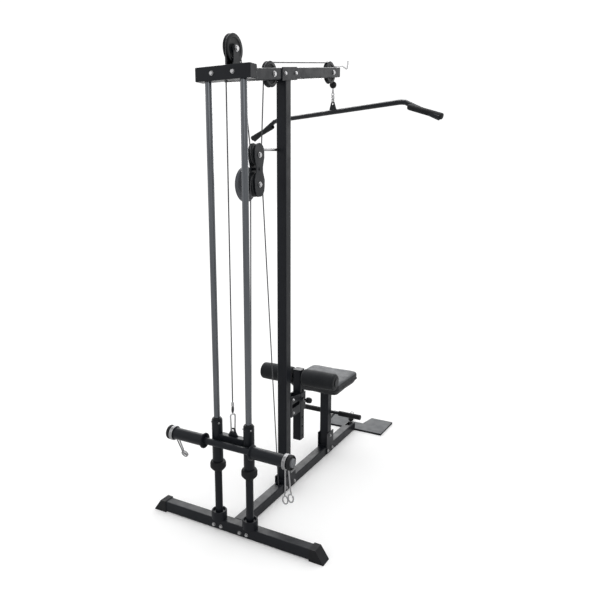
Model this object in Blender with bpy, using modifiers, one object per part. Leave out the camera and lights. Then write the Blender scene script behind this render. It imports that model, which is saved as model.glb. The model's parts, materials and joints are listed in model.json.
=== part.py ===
"""Plate-loaded lat pulldown and low row machine, in metres, +Z up.

+X is the machine's left, +Y its rear (the weight carriage), -Y its front (seat, foot plate).
It is built with Y measured from the middle of the rear crossmember, then moved by CENTRE_SHIFT,
so that the finished model's origin is on the floor in the middle of its footprint.
Cable A: lat bar, front pulley, mid pulley, under the upper sheave, rear pulley, carriage.
Cable B: anchor on the base, over the lower sheave, rear low pulley, front low pulley, row handle.
"""

from math import atan2, cos, pi, radians, sin

import bmesh
import bpy
from mathutils import Matrix, Vector

# Driving dimensions
GAP = 0.0003  # between pieces that touch
TUBE = 0.050  # square frame tube
WALL = 0.003
TUBE_CORNER = 0.005
FOOT_HEIGHT = 0.003  # the base tubes' clearance from the floor
BASE_TOP = FOOT_HEIGHT + TUBE
PLATE = 0.004  # bracket plate thickness

CENTRE_SHIFT = 0.714

CROSSMEMBER_HALF = 0.405
FOOT_CAP_INNER = 0.385
FOOT_CAP_TOE = 0.454  # the cap's slanted end, at the floor
FOOT_CAP_HEEL = 0.415  # and at its top
BEAM_END = -1.300

ROD_X = 0.083
ROD_Y = 0.008
ROD_RADIUS = 0.0135
CROSSBEAM_HALF = 0.129
CROSSBEAM_HEIGHT = 0.054
CROSSBEAM_Z = 1.967

BOOM_Z = 1.9605  # boom axis at Y = 0
BOOM_SLOPE = 0.15  # its rise towards the front
BOOM_HEIGHT = 0.0504
BOOM_END = -0.990
MAST_Y = -0.444

CABLE_RADIUS = 0.0028
GROOVE_DEPTH = 0.0095
CABLE_SEAT = CABLE_RADIUS + 0.0004  # cable axis above the groove's bottom
BIG_PULLEY = 0.054
REAR_PULLEY = 0.0565
UPPER_SHEAVE = 0.047
LOWER_SHEAVE = 0.053
LOW_PULLEY = 0.0225
LOW_GROOVE = 0.006
AXLE_RADIUS = 0.005
BORE_RADIUS = 0.0055
PULLEY_HALF = 0.010

FRONT_Y = -0.915
MID_Y = -0.321
REAR_PULLEY_AT = (-0.045, 2.065)
BLOCK_Y = -0.207
UPPER_Z = 1.667
LOWER_Z = 1.543
LOW_REAR_AT = (-0.405, 0.0295)
LOW_FRONT_AT = (-1.252, 0.0295)
ANCHOR_AT = (-0.130, 0.079)
GUIDE_WHEEL_RADIUS = 0.076
GUIDE_WHEEL_X = 0.055

SLEEVE_RADIUS = 0.024
SLEEVE_BOTTOM = 0.3203
SLEEVE_TOP = 0.531
STOP_HEIGHT = 0.2857
BAR_Z = 0.436  # loading bar
BAR_Y = 0.048
LOAD_SLEEVE_RADIUS = 0.0265
LOAD_SLEEVE_INNER = 0.1203
LOAD_SLEEVE_OUTER = 0.325
CLIP_X = 0.293

SEAT_POST_Y = -0.925
SEAT_PLATE_Z = 0.416
SEAT_TOP = 0.487
SEAT_HALF_WIDTH = 0.153
SEAT_TAPER = 0.014
SEAT_REAR = -0.747
SEAT_FRONT = -1.055

HOLDDOWN_Y = -0.595
HOLDDOWN_TUBE = 0.045
HOLDDOWN_BOTTOM = 0.220
HOLDDOWN_TOP = 0.604
ROLLER_Z = 0.564
ROLLER_RADIUS = 0.0445
ROLLER_INNER = 0.030
ROLLER_OUTER = 0.212
PIN_Z = 0.442

BALL_RADIUS = 0.018
LAT_BALL_Z = 2.044
LAT_BAR_Z = 1.908
LAT_BAR_RADIUS = 0.0125
LAT_HALF = 0.459  # straight part, from the middle to each bend
LAT_END = 0.220
LAT_END_DROP = radians(25)
LAT_TURN = radians(-18.5)  # how far the hanging bar has swivelled
LAT_TILT = radians(1.7)  # and how far it hangs out of level
LUG_HOLE_Z = LAT_BAR_Z + 0.043
LUG_HOLE_RADIUS = 0.0072

ROW_BAR_Y = -1.000
ROW_BAR_Z = 0.225
ROW_BAR_HALF = 0.184
ROW_PULL = Vector((0, -0.45, 0.893)).normalized()  # the low cable leaves the base this way

FOOT_PLATE_HALF = 0.200
FOOT_PLATE_FRONT = -1.510
FOOT_PLATE_NOTCH = -1.400
FOOT_PLATE_HEIGHT = 0.012

COLOURS = {  # base colour, metallic, roughness
    "powder": ((0.035, 0.038, 0.042), 0.3, 0.5),
    "chrome": ((0.75, 0.75, 0.77), 1.0, 0.15),
    "steel": ((0.55, 0.55, 0.56), 1.0, 0.3),
    "rubber": ((0.02, 0.02, 0.022), 0.0, 0.8),
    "foam": ((0.025, 0.026, 0.028), 0.0, 0.9),
    "vinyl": ((0.10, 0.10, 0.105), 0.0, 0.6),
    "nylon": ((0.04, 0.04, 0.045), 0.0, 0.5),
}


def clear_scene():
    for obj in list(bpy.data.objects):
        bpy.data.objects.remove(obj, do_unlink=True)


def collection(name):
    made = bpy.data.collections.new(name)
    bpy.context.scene.collection.children.link(made)
    return made


clear_scene()
MODEL = collection("lat_pulldown_machine")
CUTTERS = collection("cutters")


def material(name, kind):
    colour, metallic, roughness = COLOURS[kind]
    made = bpy.data.materials.new(name)
    made.use_nodes = True
    shader = made.node_tree.nodes["Principled BSDF"]
    shader.inputs["Base Color"].default_value = (*colour, 1)
    shader.inputs["Metallic"].default_value = metallic
    shader.inputs["Roughness"].default_value = roughness
    return made


def finish_mesh(bm):
    bmesh.ops.remove_doubles(bm, verts=bm.verts, dist=1e-6)
    bmesh.ops.recalc_face_normals(bm, faces=bm.faces)
    mesh = bpy.data.meshes.new("shape")
    bm.to_mesh(mesh)
    bm.free()
    return mesh


def place(name, mesh, kind, origin=(0, 0, 0), smooth=False):
    """A sub-part from a mesh in world coordinates, with its origin moved to a point."""
    mesh.transform(Matrix.Translation(-Vector(origin)))
    obj = bpy.data.objects.new(name, mesh)
    obj.location = origin
    mesh.materials.append(material(name, kind))
    if smooth:
        mesh.shade_smooth()
        mesh.set_sharp_from_angle(angle=radians(35))
    MODEL.objects.link(obj)
    return obj


def hidden(mesh, owner):
    """A helper solid for a Boolean on owner, left out of the model."""
    obj = bpy.data.objects.new(owner.name + "_helper", mesh)
    CUTTERS.objects.link(obj)
    obj.hide_render = True
    obj.display_type = "WIRE"
    obj.location = (0, 0, 0)
    return obj


def boolean(owner, mesh, operation):
    mod = owner.modifiers.new(operation.lower(), "BOOLEAN")
    mod.operation = operation
    mod.solver = "EXACT"
    mod.object = hidden(mesh, owner)


def cut(owner, *meshes):
    for mesh in meshes:
        boolean(owner, mesh, "DIFFERENCE")


def join(owner, *meshes):
    for mesh in meshes:
        boolean(owner, mesh, "UNION")


def box(low, high, round_by=0.0):
    """A box between two corners, its edges chamfered by round_by."""
    low, high = Vector(low), Vector(high)
    bm = bmesh.new()
    bmesh.ops.create_cube(bm, size=1)
    bmesh.ops.scale(bm, vec=high - low, verts=bm.verts)
    bmesh.ops.translate(bm, vec=(low + high) / 2, verts=bm.verts)
    if round_by:
        bmesh.ops.bevel(bm, geom=bm.edges, offset=round_by, segments=2, affect="EDGES", profile=0.5)
    return finish_mesh(bm)


def cylinder(start, end, radius, segments=16, end_radius=None):
    """A straight round bar or cone between two points."""
    start, end = Vector(start), Vector(end)
    bm = bmesh.new()
    tip = radius if end_radius is None else end_radius
    bmesh.ops.create_cone(
        bm, cap_ends=True, segments=segments, radius1=radius, radius2=tip, depth=(end - start).length
    )
    turn = Vector((0, 0, 1)).rotation_difference(end - start).to_matrix()
    bmesh.ops.rotate(bm, matrix=turn, verts=bm.verts)
    bmesh.ops.translate(bm, vec=(start + end) / 2, verts=bm.verts)
    return finish_mesh(bm)


def outline(loops, plane, low, high, shear=0.0):
    """Flat outlines (the later ones holes), extruded from low to high across their plane."""
    curve = bpy.data.curves.new("outline", "CURVE")
    curve.dimensions = "2D"
    curve.fill_mode = "BOTH"
    curve.extrude = (high - low) / 2
    for loop in loops:
        spline = curve.splines.new("POLY")
        spline.points.add(len(loop) - 1)
        spline.use_cyclic_u = True
        for point, (u, v) in zip(spline.points, loop):
            point.co = (u, v, 0, 1)
    flat = bpy.data.objects.new("outline", curve)
    bpy.context.scene.collection.objects.link(flat)
    bpy.context.view_layer.update()
    raw = bpy.data.meshes.new_from_object(flat.evaluated_get(bpy.context.evaluated_depsgraph_get()))
    bpy.data.objects.remove(flat)
    bm = bmesh.new()
    bm.from_mesh(raw)
    middle = (low + high) / 2
    for vert in bm.verts:
        u, v, w = vert.co
        w += middle
        vert.co = {"XY": (u, v, w), "XZ": (u, w, v), "YZ": (w, u, v)}[plane]
        vert.co.z -= shear * vert.co.y
    return finish_mesh(bm)


def arc(centre, radius, start, end, step=radians(22.5)):
    """Points on a circle from one angle to another, both included."""
    count = max(1, round(abs(end - start) / step))
    angles = [start + (end - start) * i / count for i in range(count + 1)]
    return [(centre[0] + radius * cos(a), centre[1] + radius * sin(a)) for a in angles]


def circle(centre, radius, count=16):
    return arc(centre, radius, 0, 2 * pi, 2 * pi / count)[:-1]


def rounded(low, high, radius):
    """A rectangle between two corners, with rounded ones."""
    (x0, y0), (x1, y1) = low, high
    corners = ((x1, y1, 0), (x0, y1, 90), (x0, y0, 180), (x1, y0, 270))
    points = []
    for x, y, angle in corners:
        centre = (x - radius * (1 if x == x1 else -1), y - radius * (1 if y == y1 else -1))
        points += arc(centre, radius, radians(angle), radians(angle + 90), radians(30))
    return points


def square_tube(plane, centre, low, high, size=TUBE, wall=WALL, height=None, shear=0.0):
    """A square tube with open ends, its section in plane and its length across it."""
    half, tall = size / 2, (height or size) / 2
    u, v = centre
    outer = rounded((u - half, v - tall), (u + half, v + tall), TUBE_CORNER)
    inner = rounded(
        (u - half + wall, v - tall + wall), (u + half - wall, v + tall - wall), TUBE_CORNER - wall * 0.8
    )
    return outline([outer, inner], plane, low, high, shear)


def turned(profile, axis, origin=(0, 0, 0), segments=24):
    """A closed profile of (radius, along) points, turned about an axis through origin."""
    bm = bmesh.new()
    verts = [bm.verts.new((radius, 0, along)) for radius, along in profile]
    edges = [bm.edges.new(pair) for pair in zip(verts, verts[1:] + verts[:1])]
    bmesh.ops.spin(
        bm, geom=verts + edges, cent=(0, 0, 0), axis=(0, 0, 1), angle=2 * pi, steps=segments, use_merge=True
    )
    loose = [v for v in bm.verts if not v.link_faces]
    bmesh.ops.delete(bm, geom=loose, context="VERTS")
    bmesh.ops.dissolve_degenerate(bm, dist=1e-7, edges=bm.edges)
    turn = {"X": Matrix.Rotation(pi / 2, 3, "Y"), "Z": Matrix.Identity(3)}[axis]
    bmesh.ops.rotate(bm, matrix=turn, verts=bm.verts)
    bmesh.ops.translate(bm, vec=origin, verts=bm.verts)
    return finish_mesh(bm)


def ball(centre, radius, segments=16):
    bm = bmesh.new()
    bmesh.ops.create_uvsphere(bm, u_segments=segments, v_segments=segments // 2, radius=radius)
    bmesh.ops.translate(bm, vec=centre, verts=bm.verts)
    return finish_mesh(bm)


def wire_object(name, points, radius, cyclic=False, sides=2):
    """A round wire along points, as a curve object with filled ends."""
    curve = bpy.data.curves.new(name, "CURVE")
    curve.dimensions = "3D"
    curve.bevel_depth = radius
    curve.bevel_resolution = sides
    curve.use_fill_caps = True
    spline = curve.splines.new("POLY")
    spline.points.add(len(points) - 1)
    spline.use_cyclic_u = cyclic
    for point, place_at in zip(spline.points, points):
        point.co = (*place_at, 1)
    obj = bpy.data.objects.new(name, curve)
    MODEL.objects.link(obj)
    return obj


def wire(points, radius, cyclic=False, sides=2):
    """The same wire as a closed mesh, for joining to another piece."""
    obj = wire_object("wire", points, radius, cyclic, sides)
    bpy.context.view_layer.update()
    raw = bpy.data.meshes.new_from_object(obj.evaluated_get(bpy.context.evaluated_depsgraph_get()))
    bpy.data.objects.remove(obj)
    bm = bmesh.new()
    bm.from_mesh(raw)
    return finish_mesh(bm)


def boom_axis(y):
    return BOOM_Z - BOOM_SLOPE * y


# Cable geometry, in the (Y, Z) plane. A station is (centre, radius, turn): turn is +1 where the
# cable goes round counterclockwise with +Y to the right, -1 where clockwise, 0 at a fixed point.
def seat_radius(pulley_radius, groove=GROOVE_DEPTH):
    return pulley_radius - groove + CABLE_SEAT


def tangent(first, second):
    """Where the straight cable leaves the first station and reaches the second."""
    (c1, r1, s1), (c2, r2, s2) = first, second
    dy, dz = c2[0] - c1[0], c2[1] - c1[1]
    side = s2 * r2 - s1 * r1
    length = (dy * dy + dz * dz - side * side) ** 0.5
    heading = atan2(dz, dy) - atan2(side, length)
    normal = (-sin(heading), cos(heading))
    leave = (c1[0] - s1 * r1 * normal[0], c1[1] - s1 * r1 * normal[1])
    reach = (c2[0] - s2 * r2 * normal[0], c2[1] - s2 * r2 * normal[1])
    return leave, reach


def wrap(before, station, after, step=radians(12)):
    """The cable's points round one pulley, between its neighbours."""
    centre, radius, turn = station
    start = tangent(before, station)[1]
    end = tangent(station, after)[0]
    first = atan2(start[1] - centre[1], start[0] - centre[0])
    last = atan2(end[1] - centre[1], end[0] - centre[0])
    while (last - first) * turn < 0:
        last += 2 * pi * turn
    return arc(centre, radius, first, last, step)


def cable(name, route):
    """A cable along a (Y, Z) route, its ends a hair short so that neighbours don't touch."""
    points = [Vector((0, y, z)) for y, z in route]
    points[0] += (points[1] - points[0]).normalized() * GAP
    points[-1] += (points[-2] - points[-1]).normalized() * GAP
    return wire_object(name, points, CABLE_RADIUS)


FRONT_AT = (FRONT_Y, boom_axis(FRONT_Y))
MID_AT = (MID_Y, boom_axis(MID_Y))
UPPER_AT = (BLOCK_Y, UPPER_Z)
LOWER_AT = (BLOCK_Y, LOWER_Z)
LAT_Y = FRONT_Y - seat_radius(BIG_PULLEY)
EYE_Y = REAR_PULLEY_AT[0] + seat_radius(REAR_PULLEY)
CARABINER_TOP = 0.574
ROW_SIDE = Vector((0, -ROW_PULL.z, ROW_PULL.y))
ROW_EXIT = Vector((0, *LOW_FRONT_AT)) + seat_radius(LOW_PULLEY, LOW_GROOVE) * ROW_SIDE
ROW_BALL = ROW_EXIT + 0.058 * ROW_PULL

LAT_STATION = ((LAT_Y, LAT_BALL_Z), 0, 0)
FRONT_STATION = (FRONT_AT, seat_radius(BIG_PULLEY), -1)
MID_STATION = (MID_AT, seat_radius(BIG_PULLEY), -1)
UPPER_STATION = (UPPER_AT, seat_radius(UPPER_SHEAVE), 1)
REAR_STATION = (REAR_PULLEY_AT, seat_radius(REAR_PULLEY), -1)
CARRIAGE_STATION = ((EYE_Y, CARABINER_TOP), 0, 0)
ANCHOR_STATION = (ANCHOR_AT, 0, 0)
LOWER_STATION = (LOWER_AT, seat_radius(LOWER_SHEAVE), 1)
LOW_REAR_STATION = (LOW_REAR_AT, seat_radius(LOW_PULLEY, LOW_GROOVE), -1)
LOW_FRONT_STATION = (LOW_FRONT_AT, seat_radius(LOW_PULLEY, LOW_GROOVE), -1)
ROW_STATION = ((ROW_BALL.y, ROW_BALL.z), 0, 0)


def along_x(y, z, x0, x1, radius, segments=16):
    return cylinder((x0, y, z), (x1, y, z), radius, segments)


# Base
def make_base():
    half = TUBE / 2
    middle = FOOT_HEIGHT + half
    cross = square_tube("YZ", (0, middle), -CROSSMEMBER_HALF, CROSSMEMBER_HALF)
    place("rear_crossmember", cross, "powder")
    for side, name in ((1, "left"), (-1, "right")):
        shape = [
            (side * FOOT_CAP_INNER, 0),
            (side * FOOT_CAP_TOE, 0),
            (side * FOOT_CAP_HEEL, BASE_TOP + 0.003),
            (side * FOOT_CAP_INNER, BASE_TOP + 0.003),
        ]
        cap = place(f"foot_cap_{name}", outline([shape], "XZ", -half - 0.003, half + 0.003), "rubber")
        pocket = sorted((side * (FOOT_CAP_INNER - 0.01), side * (CROSSMEMBER_HALF + GAP)))
        low = (pocket[0], -half - GAP, FOOT_HEIGHT - GAP)
        high = (pocket[1], half + GAP, BASE_TOP + GAP)
        cut(cap, box(low, high))

    beam_mesh = square_tube("XZ", (0, middle), BEAM_END, -half - GAP)
    beam = place("base_beam", beam_mesh, "powder")
    for y, front, rear in ((LOW_REAR_AT[0], -0.013, 0.033), (LOW_FRONT_AT[0], -0.041, 0.022)):
        cut(beam, box((-0.0125, y + front, BASE_TOP - 0.010), (0.0125, y + rear, BASE_TOP + 0.010)))
    post_top = ANCHOR_AT[1] - 0.010
    join(
        beam,
        cylinder((0, ANCHOR_AT[0], BASE_TOP - 0.002), (0, ANCHOR_AT[0], post_top), 0.006, 12),
        ball((0, ANCHOR_AT[0], post_top), 0.009, 12),
    )

    edge, notch = FOOT_PLATE_HALF, 0.040
    rear = BEAM_END - GAP

    def plate_outline(inset):
        return [
            (-edge + inset, rear - inset),
            (-edge + inset, FOOT_PLATE_FRONT + inset),
            (-notch - 0.018 - inset, FOOT_PLATE_FRONT + inset),
            (-notch - inset, FOOT_PLATE_NOTCH + inset),
            (notch + inset, FOOT_PLATE_NOTCH + inset),
            (notch + 0.018 + inset, FOOT_PLATE_FRONT + inset),
            (edge - inset, FOOT_PLATE_FRONT + inset),
            (edge - inset, rear - inset),
        ]

    plate = place("foot_plate", outline([plate_outline(0)], "XY", 0, FOOT_PLATE_HEIGHT), "powder")
    cut(plate, outline([plate_outline(PLATE)], "XY", -0.01, FOOT_PLATE_HEIGHT - PLATE))
    tab_low = (-half, rear - PLATE, FOOT_PLATE_HEIGHT - PLATE)
    join(plate, box(tab_low, (half, rear - 0.00005, BASE_TOP - 0.003)))


def foot_bracket(y_low, y_high, top):
    """Flange on the beam with a side plate down each flank, as meshes to join to an upright."""
    inner = TUBE / 2 + GAP
    outer = inner + PLATE
    flange = box((-outer, y_low, BASE_TOP + GAP), (outer, y_high, BASE_TOP + GAP + PLATE))
    sides = [
        box((min(s * inner, s * outer), y_low, 0.010), (max(s * inner, s * outer), y_high, top))
        for s in (1, -1)
    ]
    return [flange, *sides]


# Uprights and boom
def make_mast():
    top = boom_axis(MAST_Y) - BOOM_HEIGHT / 2 - PLATE - 2 * GAP
    half = TUBE / 2
    mast = place("mast", square_tube("XY", (0, MAST_Y), BASE_TOP + GAP, top + 0.01), "powder")
    slope_cut = box((-0.05, MAST_Y - 0.05, 0), (0.05, MAST_Y + 0.05, 0.03))
    for vert in slope_cut.vertices:
        vert.co.z += top - BOOM_SLOPE * (vert.co.y - MAST_Y)
    cut(mast, slope_cut)
    join(mast, *foot_bracket(MAST_Y - 0.066, MAST_Y + 0.046, 0.085))
    peg_end = MAST_Y + half + 0.147
    join(mast, cylinder((0.018, MAST_Y + half - 0.002, 1.697), (0.018, peg_end, 1.692), 0.006, 12))


def make_boom():
    half = TUBE / 2
    start = ROD_Y - half - GAP
    mesh = square_tube("XZ", (0, BOOM_Z), BOOM_END, start, height=BOOM_HEIGHT, shear=BOOM_SLOPE)
    boom = place("boom", mesh, "powder")
    slots = ((FRONT_Y, 0.057), (MID_Y, 0.058), (-0.110, 0.026))
    for y, reach in slots:
        cut(boom, box((-0.0125, y - reach, boom_axis(y) - 0.06), (0.0125, y + reach, boom_axis(y) + 0.06)))
    for y in (FRONT_Y, MID_Y):
        cut(boom, along_x(y, boom_axis(y), -0.05, 0.05, BORE_RADIUS))

    face = rounded((-half, BOOM_Z - half), (half, BOOM_Z + half), TUBE_CORNER)
    end = BOOM_END - GAP
    cap = place("boom_end_cap", outline([face], "XZ", end - 0.003, end, BOOM_SLOPE), "nylon")
    plug = half - WALL - GAP
    plug_outline = rounded((-plug, BOOM_Z - plug), (plug, BOOM_Z + plug), 0.003)
    join(cap, outline([plug_outline], "XZ", end - 0.001, end + 0.014, BOOM_SLOPE))

    inner, outer = half + GAP, half + GAP + PLATE
    web = BOOM_Z - BOOM_HEIGHT / 2 - GAP
    low, high = web - PLATE, BOOM_Z + BOOM_HEIGHT / 2 + 0.002
    section = [
        (-outer, low), (outer, low), (outer, high), (inner, high),
        (inner, web), (-inner, web), (-inner, high), (-outer, high),
    ]  # fmt: skip
    place("boom_saddle", outline([section], "XZ", -0.516, -0.384, BOOM_SLOPE), "powder")


def make_top():
    half_y, half_z = TUBE / 2, CROSSBEAM_HEIGHT / 2
    low = (-CROSSBEAM_HALF, ROD_Y - half_y, CROSSBEAM_Z - half_z)
    high = (CROSSBEAM_HALF, ROD_Y + half_y, CROSSBEAM_Z + half_z)
    beam = place("top_crossbeam", box(low, high, 0.003), "powder")
    inside = [v + (WALL if i < 3 else -WALL) for i, v in enumerate((*low, *high))]
    cut(beam, box(inside[:3], inside[3:]))
    cut(beam, cylinder((0, EYE_Y, low[2] - 0.01), (0, EYE_Y, high[2] + 0.01), 0.009))

    y, z = REAR_PULLEY_AT
    web = BOOM_Z + BOOM_HEIGHT / 2 + GAP
    base_rear = ROD_Y - half_y - 0.002
    inner, outer = 0.0135, 0.0135 + PLATE
    section = [(-outer, web), (outer, web), (outer, web + 0.02), (inner, web + 0.02)]
    section += [(inner, web + PLATE), (-inner, web + PLATE), (-inner, web + 0.02), (-outer, web + 0.02)]
    bracket = place(
        "rear_pulley_bracket", outline([section], "XZ", y - 0.030, base_rear, BOOM_SLOPE), "powder"
    )
    foot = web - BOOM_SLOPE * y + 0.010
    ear = arc((y, z), 0.020, 0, pi) + [(y - 0.026, foot), (y + 0.022, foot)]
    for s in (1, -1):
        join(bracket, outline([ear], "YZ", min(s * inner, s * outer), max(s * inner, s * outer)))
    cut(bracket, along_x(y, z, -0.04, 0.04, BORE_RADIUS))

    for side, name in ((1, "left"), (-1, "right")):
        bottom, top = BASE_TOP + GAP, CROSSBEAM_Z - half_z - GAP
        rod = cylinder((side * ROD_X, ROD_Y, bottom), (side * ROD_X, ROD_Y, top), ROD_RADIUS, 20)
        place(f"guide_rod_{name}", rod, "chrome", smooth=True)
        inner_r = ROD_RADIUS + 0.0006
        profile = [
            (inner_r, bottom), (0.035, bottom), (0.035, 0.089), (0.032, 0.094), (0.028, 0.094),
            (0.026, 0.084), (0.0168, 0.084), (0.0168, STOP_HEIGHT), (inner_r, STOP_HEIGHT),
        ]  # fmt: skip
        stop = turned(profile, "Z", (side * ROD_X, ROD_Y, 0), 20)
        place(f"stop_tube_{name}", stop, "powder", smooth=True)


def make_bar_hook():
    top = boom_axis(BOOM_END) + BOOM_HEIGHT / 2 + 0.0045
    points = [
        (0, BOOM_END + 0.013, top - BOOM_SLOPE * 0.013),
        (0, BOOM_END, top),
        (0, -1.030, top + 0.008),
        (0, -1.062, top + 0.013),
        (0, -1.100, top + 0.011),
        (0, -1.127, top + 0.008),
        (0, -1.138, top + 0.013),
        (0, -1.143, top + 0.026),
        (0, -1.148, top + 0.051),
    ]
    wire_object("bar_hook", points, 0.004)


def axle(name, y, z, half, left_extra=0.0):
    """A bolt across the machine with a hexagonal head and nut."""
    head = 0.006
    reach = half + GAP
    bolt = place(name, along_x(y, z, -reach - head + 0.001, reach + left_extra + head, AXLE_RADIUS), "steel")
    join(bolt, along_x(y, z, -reach - head, -reach, 0.0095, 6))
    join(bolt, along_x(y, z, reach + left_extra, reach + left_extra + head - 0.001, 0.0095, 6))
    return bolt


def pulley_profile(radius, groove, half=PULLEY_HALF, hub=0.0115):
    """Radius and width of a V-grooved pulley with a hub and recessed faces."""
    seat = radius - groove
    recess = half - 0.004
    rim = radius - 0.006 if groove > 0.008 else radius - 0.003
    one_side = [
        (BORE_RADIUS, hub), (0.011, hub), (0.012, recess), (seat - 0.003, recess),
        (rim - 0.001, half), (radius - 0.001, half), (radius, half - 0.0015), (seat, 0.0033),
    ]  # fmt: skip
    return one_side + [(r, -x) for r, x in reversed(one_side)]


def make_pulleys():
    for name, at, radius in (
        ("front_pulley", FRONT_AT, BIG_PULLEY),
        ("mid_pulley", MID_AT, BIG_PULLEY),
        ("rear_pulley", REAR_PULLEY_AT, REAR_PULLEY),
        ("upper_sheave", UPPER_AT, UPPER_SHEAVE),
        ("lower_sheave", LOWER_AT, LOWER_SHEAVE),
    ):
        centre = (0, *at)
        mesh = turned(pulley_profile(radius, GROOVE_DEPTH), "X", centre, 20)
        place(name, mesh, "nylon", centre, smooth=True)
    axle("front_axle", *FRONT_AT, TUBE / 2)
    axle("mid_axle", *MID_AT, TUBE / 2)
    axle("rear_axle", *REAR_PULLEY_AT, 0.0135 + PLATE)
    stub, seat = TUBE / 2 - WALL - 0.0005, LOW_PULLEY - LOW_GROOVE
    side = [
        (0, stub), (AXLE_RADIUS, stub), (AXLE_RADIUS, PULLEY_HALF), (LOW_PULLEY - 0.001, PULLEY_HALF),
        (LOW_PULLEY, PULLEY_HALF - 0.001), (seat, 0.0033),
    ]  # fmt: skip
    profile = side + [(r, -x) for r, x in reversed(side)]
    for name, at in (("low_rear_pulley", LOW_REAR_AT), ("low_front_pulley", LOW_FRONT_AT)):
        centre = (0, *at)
        place(name, turned(profile, "X", centre, 20), "nylon", centre, smooth=True)


def make_block():
    """Floating double block: two figure-eight plates, spacer, axles and the outboard guide wheel."""
    lobe, waist = 0.038, 0.026
    middle = (UPPER_Z + LOWER_Z) / 2
    top, bottom = UPPER_Z + 0.012, LOWER_Z - 0.014
    shape = arc((BLOCK_Y, top), lobe, 0, pi)
    shape += [(BLOCK_Y - lobe, UPPER_Z - 0.010), (BLOCK_Y - waist, middle + 0.012)]
    shape += [(BLOCK_Y - waist, middle - 0.008), (BLOCK_Y - lobe - 0.002, LOWER_Z + 0.020)]
    shape += arc((BLOCK_Y, bottom), lobe, pi, 2 * pi)
    shape += [(BLOCK_Y + lobe + 0.002, LOWER_Z + 0.020), (BLOCK_Y + waist, middle - 0.008)]
    shape += [(BLOCK_Y + waist, middle + 0.012), (BLOCK_Y + lobe, UPPER_Z - 0.010)]
    holes = [circle(at, BORE_RADIUS, 12) for at in (UPPER_AT, LOWER_AT)]
    inner, outer = 0.0135, 0.0135 + PLATE
    right = outline([shape, *holes], "YZ", -outer, -inner)
    block = place("pulley_block", right, "powder", (0, BLOCK_Y, middle))
    left = outline([shape, *holes], "YZ", inner, outer)
    spacer = along_x(BLOCK_Y, middle + 0.003, -outer - 0.003, outer + 0.003, 0.006, 12)
    # One helper carries the far plate and the spacer, so a single union makes one body.
    bm = bmesh.new()
    bm.from_mesh(left)
    bm.from_mesh(spacer)
    both = bpy.data.meshes.new("far_side")
    bm.to_mesh(both)
    bm.free()
    mod = block.modifiers.new("union", "BOOLEAN")
    mod.operation = "UNION"
    mod.solver = "EXACT"
    mod.use_self = True
    mod.object = hidden(both, block)

    axle("upper_axle", *UPPER_AT, outer)
    wheel_half = 0.008
    inner_face = GUIDE_WHEEL_X - wheel_half
    reach = inner_face + 2 * wheel_half - outer
    axle("lower_axle", *LOWER_AT, outer, reach + GAP)
    rim, hub, web = GUIDE_WHEEL_RADIUS, 0.016, 0.003
    side = [
        (BORE_RADIUS, wheel_half), (hub, wheel_half), (hub + 0.002, web), (rim - 0.010, web),
        (rim - 0.008, wheel_half - 0.001), (rim - 0.001, wheel_half - 0.001), (rim, wheel_half - 0.003),
    ]  # fmt: skip
    profile = side + [(r, -x) for r, x in reversed(side)]
    centre = (GUIDE_WHEEL_X, *LOWER_AT)
    place("guide_wheel", turned(profile, "X", centre, 24), "nylon", centre, smooth=True)


def make_cables():
    over_boom = wrap(LAT_STATION, FRONT_STATION, MID_STATION)
    over_boom += wrap(FRONT_STATION, MID_STATION, UPPER_STATION)
    cable("cable_top", over_boom)
    start = tangent(MID_STATION, UPPER_STATION)[0]
    end = tangent(UPPER_STATION, REAR_STATION)[1]
    cable("block_cable_upper", [start, *wrap(MID_STATION, UPPER_STATION, REAR_STATION), end])
    finish = [(EYE_Y, CARABINER_TOP + 0.001)]
    cable("carriage_cable", wrap(UPPER_STATION, REAR_STATION, CARRIAGE_STATION) + finish)
    end = tangent(LOWER_STATION, LOW_REAR_STATION)[1]
    anchor = [(ANCHOR_AT[0], ANCHOR_AT[1] + GAP)]
    cable("block_cable_lower", anchor + wrap(ANCHOR_STATION, LOWER_STATION, LOW_REAR_STATION) + [end])
    route = wrap(LOWER_STATION, LOW_REAR_STATION, LOW_FRONT_STATION, radians(20))
    route += wrap(LOW_REAR_STATION, LOW_FRONT_STATION, ROW_STATION, radians(20))
    cable("low_cable_run", route)


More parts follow.
